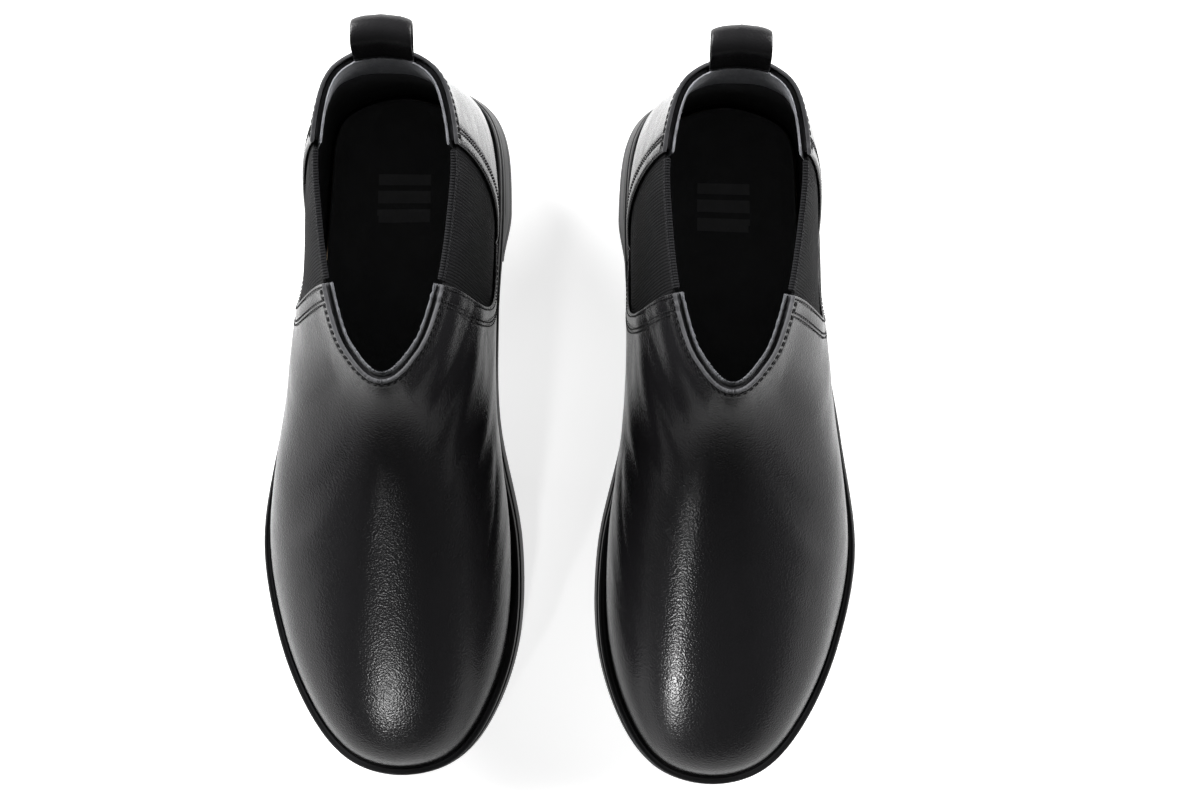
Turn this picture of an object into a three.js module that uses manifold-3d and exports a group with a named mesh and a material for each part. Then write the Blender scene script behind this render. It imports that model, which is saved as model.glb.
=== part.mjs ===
// A pair of elastic-sided ankle boots, standing side by side with their toes towards -Y.
// Each boot is cut as a shoemaker cuts it: a lasted upper of vamp, quarter and two elastic gores with
// their stiffeners and linings, on a stitched-looking sole unit with a separate heel, and a loose footbed.
//
// One boot is described in its own frame: "across" is to the outer side of the foot, "along" runs from
// the back of the heel (0) to the toe (SOLE_LENGTH) and points to -Y, and z is up from the floor.
// The left boot's outer side is +X, and the right boot is its mirror image. Millimetres.

import * as THREE from 'three';
import { LoftGeometry } from 'three/addons/geometries/LoftGeometry.js';
import { mergeVertices } from 'three/addons/utils/BufferGeometryUtils.js';
import Module from 'manifold-3d';

const wasm = await Module();
wasm.setup();

// ---- Driving dimensions -------------------------------------------------------------------------

const SOLE_LENGTH = 303;
const BALL_WIDTH = 114.8; // across the tread of the foot
const HEEL_WIDTH = 88.4;
const RIM_WIDTH = 2.6; // how far the top of the sole stands out past the foot of the upper
const HEEL_FLARE = 3.0; // the sole's side leans out by this much from its top edge to the floor
const FOREPART_FLARE = 1.5;

const HEEL_SEAT = 33; // top of the midsole under the heel
const FOREPART_SEAT = 17; // and under the ball
const TOE_SPRING = 9;
const MIDSOLE = 5;
const OUTSOLE_AT_HEEL = 5;
const TOP_LIFT = 7;
const WELT = 2.2;
const WELT_GROOVE = 1.1; // between the welt and the upper
const TREAD_GROOVE = 3.5; // both the depth and the width of a groove

const BACK_HEIGHT = 152; // topline above the floor at the back
const SIDE_HEIGHT = 145;
const FRONT_HEIGHT = 149;
const OPENING_LENGTH = 127.5;
const OPENING_WIDTH = 57;
const OPENING_SETBACK = 6.2; // back of the topline from the back of the sole

const GAP = 0.3; // between two pieces that touch
const UPPER_LIFT = 0.7; // of the upper's turned-in foot above the midsole
const LEATHER = 1.6;
const MIDDLE = 1.2; // gore, stiffener, tape: what lies between leather and lining
const LINING = 0.9;
const SEAM_CLEARANCE = 0.9; // between the edges of two panels that meet

const SHANK_LENGTH = 104;
const SHANK_WIDTH = 16;
const SHANK = 1.2;
const FILLER = 1.8; // cork that levels the forepart in front of the shank
const INSOLE_BOARD = 2;
const FOOTBED = 5;
const FOOTBED_CLEARANCE = 1.6; // round the loose footbed
const TOE_ROOM = 2.5; // more of it in front of the toes, where the upper leans in
const HEEL_CUP = 6; // how far the footbed's edge stands up round the heel

const TAB_WIDTH = 23;
const TAB_STRAP = 1.6;
const TAB_RISE = 21; // above the topline
const TAB_LEAN = 35; // degrees backwards from upright
const TAB_LOOP = 12; // depth of the loop at its fold
const TAB_CLEARANCE = 0.9; // lets the tab bend without touching the topline

const BOOT_SPACING = 135.7; // between the backs of the two heels
const STAGGER = 3.9; // the left boot stands this much further forward
const LEFT_TURN = -1.07; // degrees about Z, from pointing straight to -Y
const RIGHT_TURN = -0.68;

const INK = 0x141416;

// ---- Plan of the sole ---------------------------------------------------------------------------

// Stations round one side: share of the length, then half widths on the outer and inner side as
// shares of the heel's or the ball's half width.
const HEEL_STATIONS = [
  [0.025, 0.618, 0.618],
  [0.08, 0.923, 0.923],
  [0.19, 1.002, 0.995],
];
const FOREPART_STATIONS = [
  [0.35, 0.822, 0.723],
  [0.5, 0.962, 0.718],
  [0.66, 1.09, 0.878],
  [0.8, 0.97, 0.874],
  [0.91, 0.725, 0.695],
  [0.978, 0.41, 0.413],
];
const STATIONS = [
  ...HEEL_STATIONS.map(([along, outer, inner]) => [along, (outer * HEEL_WIDTH) / 2, (inner * HEEL_WIDTH) / 2]),
  ...FOREPART_STATIONS.map(([along, outer, inner]) => [along, (outer * BALL_WIDTH) / 2, (inner * BALL_WIDTH) / 2]),
];
const SIDE_COUNT = STATIONS.length; // stations on one side, between the heel's back and the toe
const STATION_COUNT = 2 * SIDE_COUNT + 2;

const place = (across, along, z) => new THREE.Vector3(across, -along, z);

// A closed curve from its heel point, its stations down the outer side, its toe point and back.
function closedCurve(heel, outer, toe, inner) {
  return new THREE.CatmullRomCurve3([heel, ...outer, toe, ...inner.toReversed()], true, 'catmullrom', 0.5);
}

const soleCurve = closedCurve(
  place(0, 0, 0),
  STATIONS.map(([along, outer]) => place(outer, along * SOLE_LENGTH, 0)),
  place(0, SOLE_LENGTH, 0),
  STATIONS.map(([along, , inner]) => place(-inner, along * SOLE_LENGTH, 0)),
);

const wrap = (u) => u - Math.floor(u);

// Unit normal in plan, pointing out of a closed curve that runs heel, outer side, toe.
function planNormal(curve, u) {
  const tangent = curve.getTangent(wrap(u));
  return new THREE.Vector3(-tangent.y, tangent.x, 0).normalize();
}

// A point of the sole's outline moved in from its edge. u is 0 at the heel's back and 0.5 at the toe.
function soleEdge(u, inset) {
  return soleCurve.getPoint(wrap(u)).addScaledVector(planNormal(soleCurve, u), -inset);
}

const alongOf = (point) => -point.y / SOLE_LENGTH;

// Every layer reads its height at u from the same line, a little inside the edge.
const REFERENCE_INSET = 4.6;
const alongAt = (u) => alongOf(soleEdge(u, REFERENCE_INSET));

// ---- Heights along the sole ---------------------------------------------------------------------

const HEEL_BREAST = 0.262; // where the heel ends, as a share of the length
const BALL = 0.6; // where the waist has come down to the tread
const TOE_SPRING_START = 0.66;

const toeSpring = (along) => TOE_SPRING * Math.max(0, (along - TOE_SPRING_START) / (1 - TOE_SPRING_START)) ** 2;

// Top of the midsole, which carries the upper and the insole.
function seat(along) {
  const down = THREE.MathUtils.smoothstep(along, 0.22, 0.64);
  return THREE.MathUtils.lerp(HEEL_SEAT, FOREPART_SEAT, down) + toeSpring(along);
}

// Underside of the outsole: flat over the heel, arched at the waist, on the floor at the ball.
function underside(along) {
  const down = THREE.MathUtils.smoothstep(along, HEEL_BREAST + 0.03, BALL);
  return (HEEL_SEAT - MIDSOLE - OUTSOLE_AT_HEEL) * (1 - down) + toeSpring(along);
}

const flare = (along) =>
  THREE.MathUtils.lerp(HEEL_FLARE, FOREPART_FLARE, THREE.MathUtils.smoothstep(along, 0.2, 0.6));

// How far the sole's side is in from its widest line at a height between the floor and the seat.
function flareInset(along, z) {
  return flare(along) * THREE.MathUtils.clamp((z - toeSpring(along)) / (seat(along) - toeSpring(along)), 0, 1);
}

const upperInset = (along) => flare(along) + RIM_WIDTH;

// ---- Shape of the upper -------------------------------------------------------------------------

// The topline, station by station as the sole: share of the opening's length, share of its half width.
const TOPLINE_STATIONS = [
  [0.022, 0.5],
  [0.105, 0.84],
  [0.295, 1.0],
  [0.5, 0.95],
  [0.695, 0.83],
  [0.855, 0.63],
  [0.94, 0.4],
  [0.982, 0.22],
  [0.997, 0.09],
];

// How each rib of the upper leaves its foot and reaches the topline, at the heel's back, at each
// station and at the toe: out and up from the foot, out and down from the topline, in millimetres.
const OUTER_RIBS = [
  [9, 38, -9, 44],
  [8, 37, -6, 42],
  [6, 36, 1, 36],
  [4, 36, 8, 30],
  [3, 38, 10, 28],
  [3, 36, 12, 34],
  [3, 34, 16, 48],
  [2.5, 40, 19, 62],
  [1.5, 45, 20, 69],
  [0.5, 48, 20, 71],
  [0, 49, 20, 72],
];
const INNER_RIBS = [
  OUTER_RIBS[0],
  [8, 37, -6, 42],
  [7, 36, 1, 36],
  [10, 36, 7, 32],
  [13, 38, 9, 30],
  [13, 37, 12, 36],
  [6, 34, 16, 50],
  [3, 40, 19, 62],
  [1.5, 45, 20, 69],
  [0.5, 48, 20, 71],
  OUTER_RIBS[SIDE_COUNT + 1],
];

function toplineHeight(along) {
  const toSide = THREE.MathUtils.smoothstep(along, 0.08, 0.42);
  const toFront = THREE.MathUtils.smoothstep(along, 0.62, 1);
  return BACK_HEIGHT + (SIDE_HEIGHT - BACK_HEIGHT) * toSide + (FRONT_HEIGHT - SIDE_HEIGHT) * toFront;
}

function toplinePoint(along, across) {
  return place((across * OPENING_WIDTH) / 2, OPENING_SETBACK + along * OPENING_LENGTH, toplineHeight(along));
}

const toplineCurve = closedCurve(
  toplinePoint(0, 0),
  TOPLINE_STATIONS.map(([along, across]) => toplinePoint(along, across)),
  toplinePoint(1, 0),
  TOPLINE_STATIONS.map(([along, across]) => toplinePoint(along, -across)),
);

// The foot of the upper, which stands on the midsole just inside the rim.
function footPoint(u) {
  const along = alongAt(u);
  return soleEdge(u, upperInset(along)).setZ(seat(along) + UPPER_LIFT);
}

// Two closed curves whose points, taken at the same u, are the middle handles of one rib of the upper.
function ribCurves() {
  const handles = [[], []];
  for (let i = 0; i < STATION_COUNT; i++) {
    const u = i / STATION_COUNT;
    const row = i <= SIDE_COUNT + 1 ? OUTER_RIBS[i] : INNER_RIBS[STATION_COUNT - i];
    const [footOut, footUp, topOut, topDown] = row;
    const foot = footPoint(u);
    const top = toplineCurve.getPoint(u);
    handles[0].push(foot.clone().addScaledVector(planNormal(soleCurve, u), footOut).setZ(foot.z + footUp));
    handles[1].push(top.clone().addScaledVector(planNormal(toplineCurve, u), topOut).setZ(top.z - topDown));
  }
  return handles.map((points) => new THREE.CatmullRomCurve3(points, true, 'catmullrom', 0.5));
}

const [LOW_HANDLES, HIGH_HANDLES] = ribCurves();

// The outer face of the upper: u runs round the boot, v from the foot (0) to the topline (1).
function upperFace(u, v) {
  const [low, high, top] = [LOW_HANDLES, HIGH_HANDLES, toplineCurve].map((curve) => curve.getPoint(wrap(u)));
  return new THREE.CubicBezierCurve3(footPoint(u), low, high, top).getPoint(THREE.MathUtils.clamp(v, 0, 1));
}

// A point at a depth inside the outer face.
function upperPoint(u, v, depth) {
  const step = 1e-3;
  const low = Math.min(v, 1 - step);
  const round = upperFace(u + step, low).sub(upperFace(u - step, low));
  const up = upperFace(u, low + step).sub(upperFace(u, low));
  const normal = round.cross(up).normalize();
  return upperFace(u, v).addScaledVector(normal, depth);
}

// ---- Seams between the panels -------------------------------------------------------------------

const SIDE_SEAM = 0.17; // u of the short seam below each gore
const GORE_FOOT = 0.2; // v where the gore starts above the seam
const GORE_REAR = 0.147; // u of the gore's rear corner at the topline
const GORE_FRONT = 0.252; // and of its front corner
const GORE_OVERLAP = 0.018; // how far, in u, the gore reaches in under the leather
const ROUNDNESS = 1.4; // 1 makes the gore a V, 2 an ellipse, and more a fuller U

function seamOpening(v) {
  const fallShare = THREE.MathUtils.clamp((1 - v) / (1 - GORE_FOOT), 0, 1);
  return (1 - fallShare ** ROUNDNESS) ** (1 / ROUNDNESS);
}

const rearSeam = (v) => SIDE_SEAM + (GORE_REAR - SIDE_SEAM) * seamOpening(v);
const frontSeam = (v) => SIDE_SEAM + (GORE_FRONT - SIDE_SEAM) * seamOpening(v);

// The change in u that makes a given distance at the foot of the upper near the side seams.
const uOf = (millimetres) => millimetres / (SOLE_LENGTH * 2.4);

const SEAM_HALF = uOf(SEAM_CLEARANCE / 2);
const middleDepth = [LEATHER + GAP, LEATHER + GAP + MIDDLE];
const liningDepth = [middleDepth[1] + 2 * GAP, middleDepth[1] + 2 * GAP + LINING];
const WALL = liningDepth[1]; // the whole wall of the upper

// ---- Solids -------------------------------------------------------------------------------------

const signedVolume = (geometry) => {
  const position = geometry.getAttribute('position');
  const corner = (i) => new THREE.Vector3().fromBufferAttribute(position, geometry.index.getX(i));
  let six = 0;
  for (let i = 0; i < geometry.index.count; i += 3) {
    six += corner(i).dot(corner(i + 1).cross(corner(i + 2)));
  }
  return six / 6;
};

// Splits each quad of a loft's wall along its shorter diagonal, so that parallel layers fold alike.
function splitShorter(geometry, quadCount) {
  const position = geometry.getAttribute('position');
  const point = (i) => new THREE.Vector3().fromBufferAttribute(position, i);
  const index = geometry.index;
  for (let q = 0; q < quadCount; q++) {
    const [a, b, c, d] = [0, 1, 4, 5].map((i) => index.getX(6 * q + i));
    if (point(a).distanceTo(point(c)) < point(b).distanceTo(point(d))) {
      [a, b, c, a, c, d].forEach((vertex, i) => index.setX(6 * q + i, vertex));
    }
  }
  return geometry;
}

// A closed solid through sections of equal point count, turned to face outwards.
function loft(sections, isRing = false) {
  const rows = isRing ? [...sections, sections[0]] : sections;
  const options = { closed: true, capStart: !isRing, capEnd: !isRing };
  const quadCount = (rows.length - 1) * rows[0].length;
  const geometry = new LoftGeometry(rows, options);
  if (signedVolume(geometry) > 0) return splitShorter(geometry, quadCount);
  return splitShorter(new LoftGeometry(rows.map((row) => row.toReversed()), options), quadCount);
}

// Values from start to end, both included.
const spread = (start, end, steps) =>
  Array.from({ length: steps + 1 }, (_, i) => THREE.MathUtils.lerp(start, end, i / steps));

// A panel of the upper between two depths. columns(v) lists its stations in u, and rows its v values.
// Layers that share stations and rows stay the same distance apart all over.
function panel(columns, rows, [outside, inside]) {
  const sections = columns(rows[0]).map((_, i) => {
    const at = (v, depth) => upperPoint(columns(v)[i], v, depth);
    const outer = rows.map((v) => at(v, outside));
    const inner = rows.map((v) => at(v, inside));
    return [...outer, ...inner.toReversed()];
  });
  return loft(sections);
}

const SLAB_END = 0.006; // u of the narrow flat that ends a slab at the heel's back or the toe
const SLAB_STEPS = 26;

function uAtAlong(along) {
  let [low, high] = [0, 0.5];
  for (let i = 0; i < 30; i++) {
    const middle = (low + high) / 2;
    if (alongAt(middle) < along) low = middle;
    else high = middle;
  }
  return low;
}

// Stations in u down one side, closer together where the outline turns. All layers share them.
const BREAST_U = uAtAlong(HEEL_BREAST);
const SLAB_STATIONS = (() => {
  const turn = (share) => share - Math.sin(2 * Math.PI * share) / (2.6 * Math.PI);
  const even = spread(0, 1, SLAB_STEPS).map((share) => THREE.MathUtils.lerp(SLAB_END, 0.5 - SLAB_END, turn(share)));
  return [...even, BREAST_U].sort((a, b) => a - b);
})();

// A layer of the sole: low and high give its faces' heights, inset(along, z) its edge.
function slab(low, high, inset, { from = 0, to = 0.5 } = {}) {
  const corner = (u, level) => {
    const along = alongAt(u);
    const z = level(along);
    return soleEdge(u, inset(along, z)).setZ(z);
  };
  return loft(
    SLAB_STATIONS.filter((u) => u >= from && u <= to).map((u) => [
      corner(u, low),
      corner(u, high),
      corner(1 - u, high),
      corner(1 - u, low),
    ]),
  );
}

// ---- Booleans -----------------------------------------------------------------------------------

function toSolid(geometry) {
  const bare = new THREE.BufferGeometry().setAttribute('position', geometry.getAttribute('position'));
  const merged = mergeVertices(bare.setIndex(geometry.index), 1e-3);
  return new wasm.Manifold(
    new wasm.Mesh({
      numProp: 3,
      vertProperties: merged.getAttribute('position').array,
      triVerts: new Uint32Array(merged.index.array),
    }),
  );
}

function toGeometry(solid) {
  const { vertProperties, triVerts } = solid.getMesh();
  return new THREE.BufferGeometry()
    .setAttribute('position', new THREE.BufferAttribute(vertProperties, 3))
    .setIndex(new THREE.BufferAttribute(triVerts, 1));
}

// Straight grooves across the tread, cut up from the floor at shares of the sole's length.
function cutGrooves(geometry, alongs) {
  const cut = alongs.reduce((solid, along) => {
    const floor = toeSpring(along);
    const groove = new THREE.BoxGeometry(2 * BALL_WIDTH, TREAD_GROOVE, 2 * TREAD_GROOVE);
    groove.translate(0, -along * SOLE_LENGTH, floor);
    return solid.subtract(toSolid(groove));
  }, toSolid(geometry));
  return toGeometry(cut);
}

// ---- Sole unit ----------------------------------------------------------------------------------

const midsoleFloor = (along) => seat(along) - MIDSOLE;
const heelTop = HEEL_SEAT - MIDSOLE - OUTSOLE_AT_HEEL - GAP;
const LOWER_EDGE = 0.8; // the midsole stands in from the outsole by this much

const outsole = () =>
  cutGrooves(
    slab(underside, (along) => midsoleFloor(along) - GAP, flareInset),
    [0.62, 0.68, 0.74, 0.8, 0.86, 0.92],
  );

const heelBlock = () => slab(() => TOP_LIFT + GAP, () => heelTop, flareInset, { to: BREAST_U });

const topLift = () =>
  cutGrooves(slab(() => 0, () => TOP_LIFT, flareInset, { to: BREAST_U }), [0.06, 0.13, 0.2]);

const midsole = () => slab(midsoleFloor, seat, (along, z) => flareInset(along, z) + LOWER_EDGE);

function welt() {
  const sections = [...SLAB_STATIONS, ...SLAB_STATIONS.toReversed().map((u) => 1 - u)].map((u) => {
    const along = alongAt(u);
    const low = seat(along) + GAP;
    const corner = (inset, z) => soleEdge(u, inset).setZ(z);
    const [outside, inside] = [flare(along) + LOWER_EDGE / 2, upperInset(along) - WELT_GROOVE];
    return [corner(outside, low), corner(outside, low + WELT), corner(inside, low + WELT), corner(inside, low)];
  });
  return loft(sections, true);
}

// ---- Inside the sole ----------------------------------------------------------------------------

const SHANK_CENTRE = 0.36; // share of the length at the middle of the shank
const fillerFloor = (along) => seat(along) + GAP;
const fillerTop = (along) => fillerFloor(along) + FILLER;
const boardFloor = (along) => fillerTop(along) + GAP;
const boardTop = (along) => boardFloor(along) + INSOLE_BOARD;
const footbedFloor = (along) => boardTop(along) + GAP;
const boardInset = (along) => upperInset(along) + WALL + 0.4;
const footbedInset = (along) =>
  upperInset(along) + WALL + FOOTBED_CLEARANCE + TOE_ROOM * THREE.MathUtils.smoothstep(along, 0.8, 1);

function shank() {
  const half = SHANK_LENGTH / 2 / SOLE_LENGTH;
  const sections = spread(SHANK_CENTRE - half, SHANK_CENTRE + half, 10).map((along) => {
    const low = seat(along) + GAP + (FILLER - SHANK) / 2;
    const high = low + SHANK;
    const corner = (across, z) => place(across * SHANK_WIDTH, along * SOLE_LENGTH, z);
    return [corner(0.5, low), corner(0.5, high), corner(-0.5, high), corner(-0.5, low)];
  });
  return loft(sections);
}

const corkFiller = () =>
  slab(fillerFloor, fillerTop, (along) => boardInset(along) + 1, {
    from: uAtAlong(SHANK_CENTRE + SHANK_LENGTH / 2 / SOLE_LENGTH + 0.01),
    to: 0.46,
  });

const insoleBoard = () => slab(boardFloor, boardTop, boardInset);

// How far the footbed's edge stands up: highest round the heel, gone at the ball.
const cup = (along) => HEEL_CUP * (1 - THREE.MathUtils.smoothstep(along, 0.25, 0.62));

const CUP_SECTION = [
  [1, 1],
  [0.82, 0.3],
  [0.5, 0],
]; // share of the half width, share of the cup's height

// The footbed lies flat on the board and is cupped on top.
function footbed() {
  const sections = SLAB_STATIONS.map((u) => {
    const edge = (at) => ({ point: soleEdge(at, footbedInset(alongAt(at))), along: alongAt(at) });
    const [outer, inner] = [edge(u), edge(1 - u)];
    const centre = outer.point.clone().lerp(inner.point, 0.5);
    const centreFloor = (footbedFloor(outer.along) + footbedFloor(inner.along)) / 2;
    const at = (side, share, height) => {
      const floor = THREE.MathUtils.lerp(centreFloor, footbedFloor(side.along), share);
      return centre.clone().lerp(side.point, share).setZ(floor + height);
    };
    const skin = (side) => CUP_SECTION.map(([share, lift]) => at(side, share, FOOTBED + lift * cup(side.along)));
    return [...skin(outer), ...skin(inner).toReversed(), at(inner, 1, 0), at(outer, 1, 0)];
  });
  return loft(sections);
}

// ---- Upper --------------------------------------------------------------------------------------

// Rows of the upper from its foot to the topline, which every layer shares.
const ROWS = [0, 0.08, 0.15, GORE_FOOT, 0.205, 0.22, 0.25, 0.3, 0.36, 0.44, 0.54, 0.68, 0.83, 0.915, 1];
const COLLAR_FOOT = 0.83; // where the suede collar strip takes over from the lining
const TAPE_FOOT = 0.915;
const PUFF_TOP = 0.36;
const COUNTER_TOP = 0.44;
const rowsBetween = (low, high) => ROWS.filter((v) => v >= low && v <= high);
const LINING_ROWS = [0.04, ...rowsBetween(0.08, 0.68), COLLAR_FOOT - 0.012];

// u that lies half the pull tab's width from the middle of the back.
const TAB_HALF_U = (() => {
  let [low, high] = [0, 0.1];
  for (let i = 0; i < 30; i++) {
    const middle = (low + high) / 2;
    if (toplineCurve.getPoint(middle).x < TAB_WIDTH / 2) low = middle;
    else high = middle;
  }
  return low;
})();

const joinSpreads = (...spreads) => spreads.flatMap((list, i) => (i === 0 ? list : list.slice(1)));

const TOE_CROWDING = 0.4; // how much closer together the stations stand round the toe
const crowd = (share) => share + (TOE_CROWDING * Math.sin(2 * Math.PI * share)) / (2 * Math.PI);

// Stations of the front of the boot, edge to edge. The gore's hidden margin ends on a station.
function frontColumns(v) {
  const [edge, margin] = [frontSeam(v) + SEAM_HALF, frontSeam(v) + GORE_OVERLAP];
  const body = spread(0, 1, 26).map((share) => THREE.MathUtils.lerp(margin, 1 - margin, crowd(share)));
  return joinSpreads(spread(edge, margin, 1), body, spread(1 - margin, 1 - edge, 1));
}

function rearColumns(v) {
  const [edge, margin] = [rearSeam(v) - SEAM_HALF, rearSeam(v) - GORE_OVERLAP];
  return joinSpreads(
    spread(-edge, -margin, 1),
    spread(-margin, -TAB_HALF_U, 4),
    spread(-TAB_HALF_U, TAB_HALF_U, 4),
    spread(TAB_HALF_U, margin, 4),
    spread(margin, edge, 1),
  );
}

const part = (columns, from, to) => (v) => columns(v).slice(from, to);

const vamp = () => panel(frontColumns, ROWS, [0, LEATHER]);
const quarter = () => panel(rearColumns, ROWS, [0, LEATHER]);
const vampLining = () => panel(frontColumns, LINING_ROWS, liningDepth);
const quarterLining = () => panel(rearColumns, LINING_ROWS, liningDepth);
const vampCollar = () => panel(frontColumns, rowsBetween(COLLAR_FOOT, 1), liningDepth);
const quarterCollar = () => panel(rearColumns, rowsBetween(COLLAR_FOOT, 1), liningDepth);
const vampTape = () => panel(part(frontColumns, 2, -2), rowsBetween(TAPE_FOOT, 1), middleDepth);
const quarterTapeOuter = () => panel(part(rearColumns, -5, -2), rowsBetween(TAPE_FOOT, 1), middleDepth);
const quarterTapeInner = () => panel(part(rearColumns, 2, 5), rowsBetween(TAPE_FOOT, 1), middleDepth);
const tabAnchor = () => panel(part(rearColumns, 5, 10), rowsBetween(TAPE_FOOT, 1), middleDepth);
const toePuff = () => panel(part(frontColumns, 9, -9), rowsBetween(0.08, PUFF_TOP), middleDepth);
const heelCounter = () => panel(part(rearColumns, 2, -2), rowsBetween(0.08, COUNTER_TOP), middleDepth);

// The gore's margin lies under the leather on both sides and below.
function goreColumns(v) {
  const from = Math.max(v, GORE_FOOT);
  const [rear, front] = [rearSeam(from), frontSeam(from)];
  return joinSpreads(
    spread(rear - GORE_OVERLAP, rear - SEAM_HALF, 1),
    spread(rear - SEAM_HALF, front + SEAM_HALF, 4),
    spread(front + SEAM_HALF, front + GORE_OVERLAP, 1),
  );
}

const GORE_TOP = 0.984;
const mirrorU = (columns) => (v) => columns(v).map((u) => 1 - u);
const GORE_ROWS = [...rowsBetween(GORE_FOOT - 0.06, 0.95), GORE_TOP];
const goreOuter = () => panel(goreColumns, GORE_ROWS, middleDepth);
const goreInner = () => panel(mirrorU(goreColumns), GORE_ROWS, middleDepth);

// A tape folded over the gore's top edge, between the corners of the leather.
function goreBinding(side) {
  const tape = MIDDLE / 2;
  const [out, back] = [middleDepth[0] - GAP - tape, middleDepth[1] + GAP + tape];
  const [foot, fold] = [0.955, GORE_TOP + 0.009];
  const profile = [
    [foot, out],
    [1, out],
    [1, back],
    [foot, back],
    [foot, back - tape],
    [fold, back - tape],
    [fold, out + tape],
    [foot, out + tape],
  ];
  const clear = uOf(1.6);
  const sections = spread(GORE_REAR + clear, GORE_FRONT - clear, 4).map((u) =>
    profile.map(([v, depth]) => upperPoint(side(u), v, depth)),
  );
  return loft(sections);
}

const goreBindingOuter = () => goreBinding((u) => u);
const goreBindingInner = () => goreBinding((u) => 1 - u);

// ---- Pull tab -----------------------------------------------------------------------------------

const BACK_TOP = upperFace(0, 1);
const TAB_SAG = upperFace(0, 1).y - upperFace(TAB_HALF_U, 1).y; // how much the topline curves across the tab
const BACK_DEPTH = (middleDepth[0] + middleDepth[1]) / 2;

const TAB_ROOT = TAB_STRAP + 0.1; // half the thickness where both ends of the strap meet
const tabPivot = new THREE.Vector3(
  0,
  BACK_TOP.y - BACK_DEPTH - TAB_SAG / 2,
  BACK_TOP.z + TAB_CLEARANCE + TAB_ROOT,
);

// The tab is a strap folded into a loop: its outline, seen from the side, swept across its width.
function pullTab() {
  const lean = THREE.MathUtils.degToRad(TAB_LEAN);
  const up = new THREE.Vector2(Math.sin(lean), Math.cos(lean));
  const out = new THREE.Vector2(Math.cos(lean), -Math.sin(lean));
  const height = TAB_RISE - TAB_CLEARANCE - TAB_ROOT;
  const at = (rise, off) => new THREE.Vector2().addScaledVector(up, rise).addScaledVector(out, off);
  const loop = TAB_LOOP / 2;
  const outerLine = new THREE.SplineCurve([
    at(0, TAB_ROOT),
    at(height * 0.5, loop * 0.75),
    at(height * 0.82, loop),
    at(height, 0),
    at(height * 0.82, -loop),
    at(height * 0.5, -loop * 0.75),
    at(0, -TAB_ROOT),
    at(-TAB_ROOT, 0),
    at(0, TAB_ROOT),
  ]);
  const hole = loop - TAB_STRAP;
  const innerLine = new THREE.SplineCurve([
    at(height * 0.16, 0),
    at(height * 0.5, hole * 0.75),
    at(height * 0.8, hole),
    at(height - TAB_STRAP, 0),
    at(height * 0.8, -hole),
    at(height * 0.5, -hole * 0.75),
    at(height * 0.16, 0),
  ]);
  const shape = new THREE.Shape(outerLine.getPoints(26).slice(0, -1));
  shape.holes.push(new THREE.Path(innerLine.getPoints(16).slice(0, -1)));
  const steps = 4;
  const geometry = new THREE.ExtrudeGeometry(shape, { depth: TAB_WIDTH, steps, bevelEnabled: false });
  // The shape's plane is (backwards, up) and it was extruded across; the ends bend forwards round the heel.
  const position = geometry.getAttribute('position');
  for (let i = 0; i < position.count; i++) {
    const [back, rise, across] = [position.getX(i), position.getY(i), position.getZ(i) - TAB_WIDTH / 2];
    const bend = TAB_SAG * (0.5 - (across / (TAB_WIDTH / 2)) ** 2);
    position.setXYZ(i, across, back + bend, rise);
  }
  geometry.translate(tabPivot.x, tabPivot.y, tabPivot.z);
  return geometry;
}

// ---- Assembly -----------------------------------------------------------------------------------

const finish = (color, roughness, metalness = 0) => new THREE.MeshStandardMaterial({ color, roughness, metalness });
const LEATHER_FINISH = finish(INK, 0.32);
const LINING_FINISH = finish(0x1c1d20, 0.7);
const SUEDE_FINISH = finish(0x3a3b3d, 0.95);
const ELASTIC_FINISH = finish(0x1a1a1c, 0.85);
const RUBBER_FINISH = finish(0x1b1b1c, 0.6);
const FOAM_FINISH = finish(0x101012, 0.8);
const BOARD_FINISH = finish(0x9a8465, 0.9);
const CORK_FINISH = finish(0xa67c4e, 0.95);
const STEEL_FINISH = finish(0xa8abb0, 0.3, 1);

const BOOT_PIECES = [
  ['outsole', outsole, RUBBER_FINISH],
  ['heel_block', heelBlock, RUBBER_FINISH],
  ['top_lift', topLift, RUBBER_FINISH],
  ['midsole', midsole, RUBBER_FINISH],
  ['welt', welt, RUBBER_FINISH],
  ['shank', shank, STEEL_FINISH],
  ['cork_filler', corkFiller, CORK_FINISH],
  ['insole_board', insoleBoard, BOARD_FINISH],
  ['footbed', footbed, FOAM_FINISH],
  ['toe_puff', toePuff, BOARD_FINISH],
  ['heel_counter', heelCounter, BOARD_FINISH],
  ['vamp', vamp, LEATHER_FINISH],
  ['quarter', quarter, LEATHER_FINISH],
  ['vamp_lining', vampLining, LINING_FINISH],
  ['quarter_lining', quarterLining, LINING_FINISH],
  ['vamp_collar', vampCollar, SUEDE_FINISH],
  ['quarter_collar', quarterCollar, SUEDE_FINISH],
  ['vamp_tape', vampTape, LINING_FINISH],
  ['quarter_tape_outer', quarterTapeOuter, LINING_FINISH],
  ['quarter_tape_inner', quarterTapeInner, LINING_FINISH],
  ['gore_outer', goreOuter, ELASTIC_FINISH],
  ['gore_inner', goreInner, ELASTIC_FINISH],
  ['gore_binding_outer', goreBindingOuter, ELASTIC_FINISH],
  ['gore_binding_inner', goreBindingInner, ELASTIC_FINISH],
  ['tab_anchor', tabAnchor, LEATHER_FINISH],
  ['pull_tab', pullTab, LEATHER_FINISH],
];
const SHAPES = BOOT_PIECES.map(([name, make, material]) => [name, make(), material]);

function boot(side) {
  const group = new THREE.Group();
  for (const [name, geometry, material] of SHAPES) {
    const mesh = new THREE.Mesh(geometry, material);
    mesh.name = `${side}_${name}`;
    group.add(mesh);
  }
  return group;
}

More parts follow.
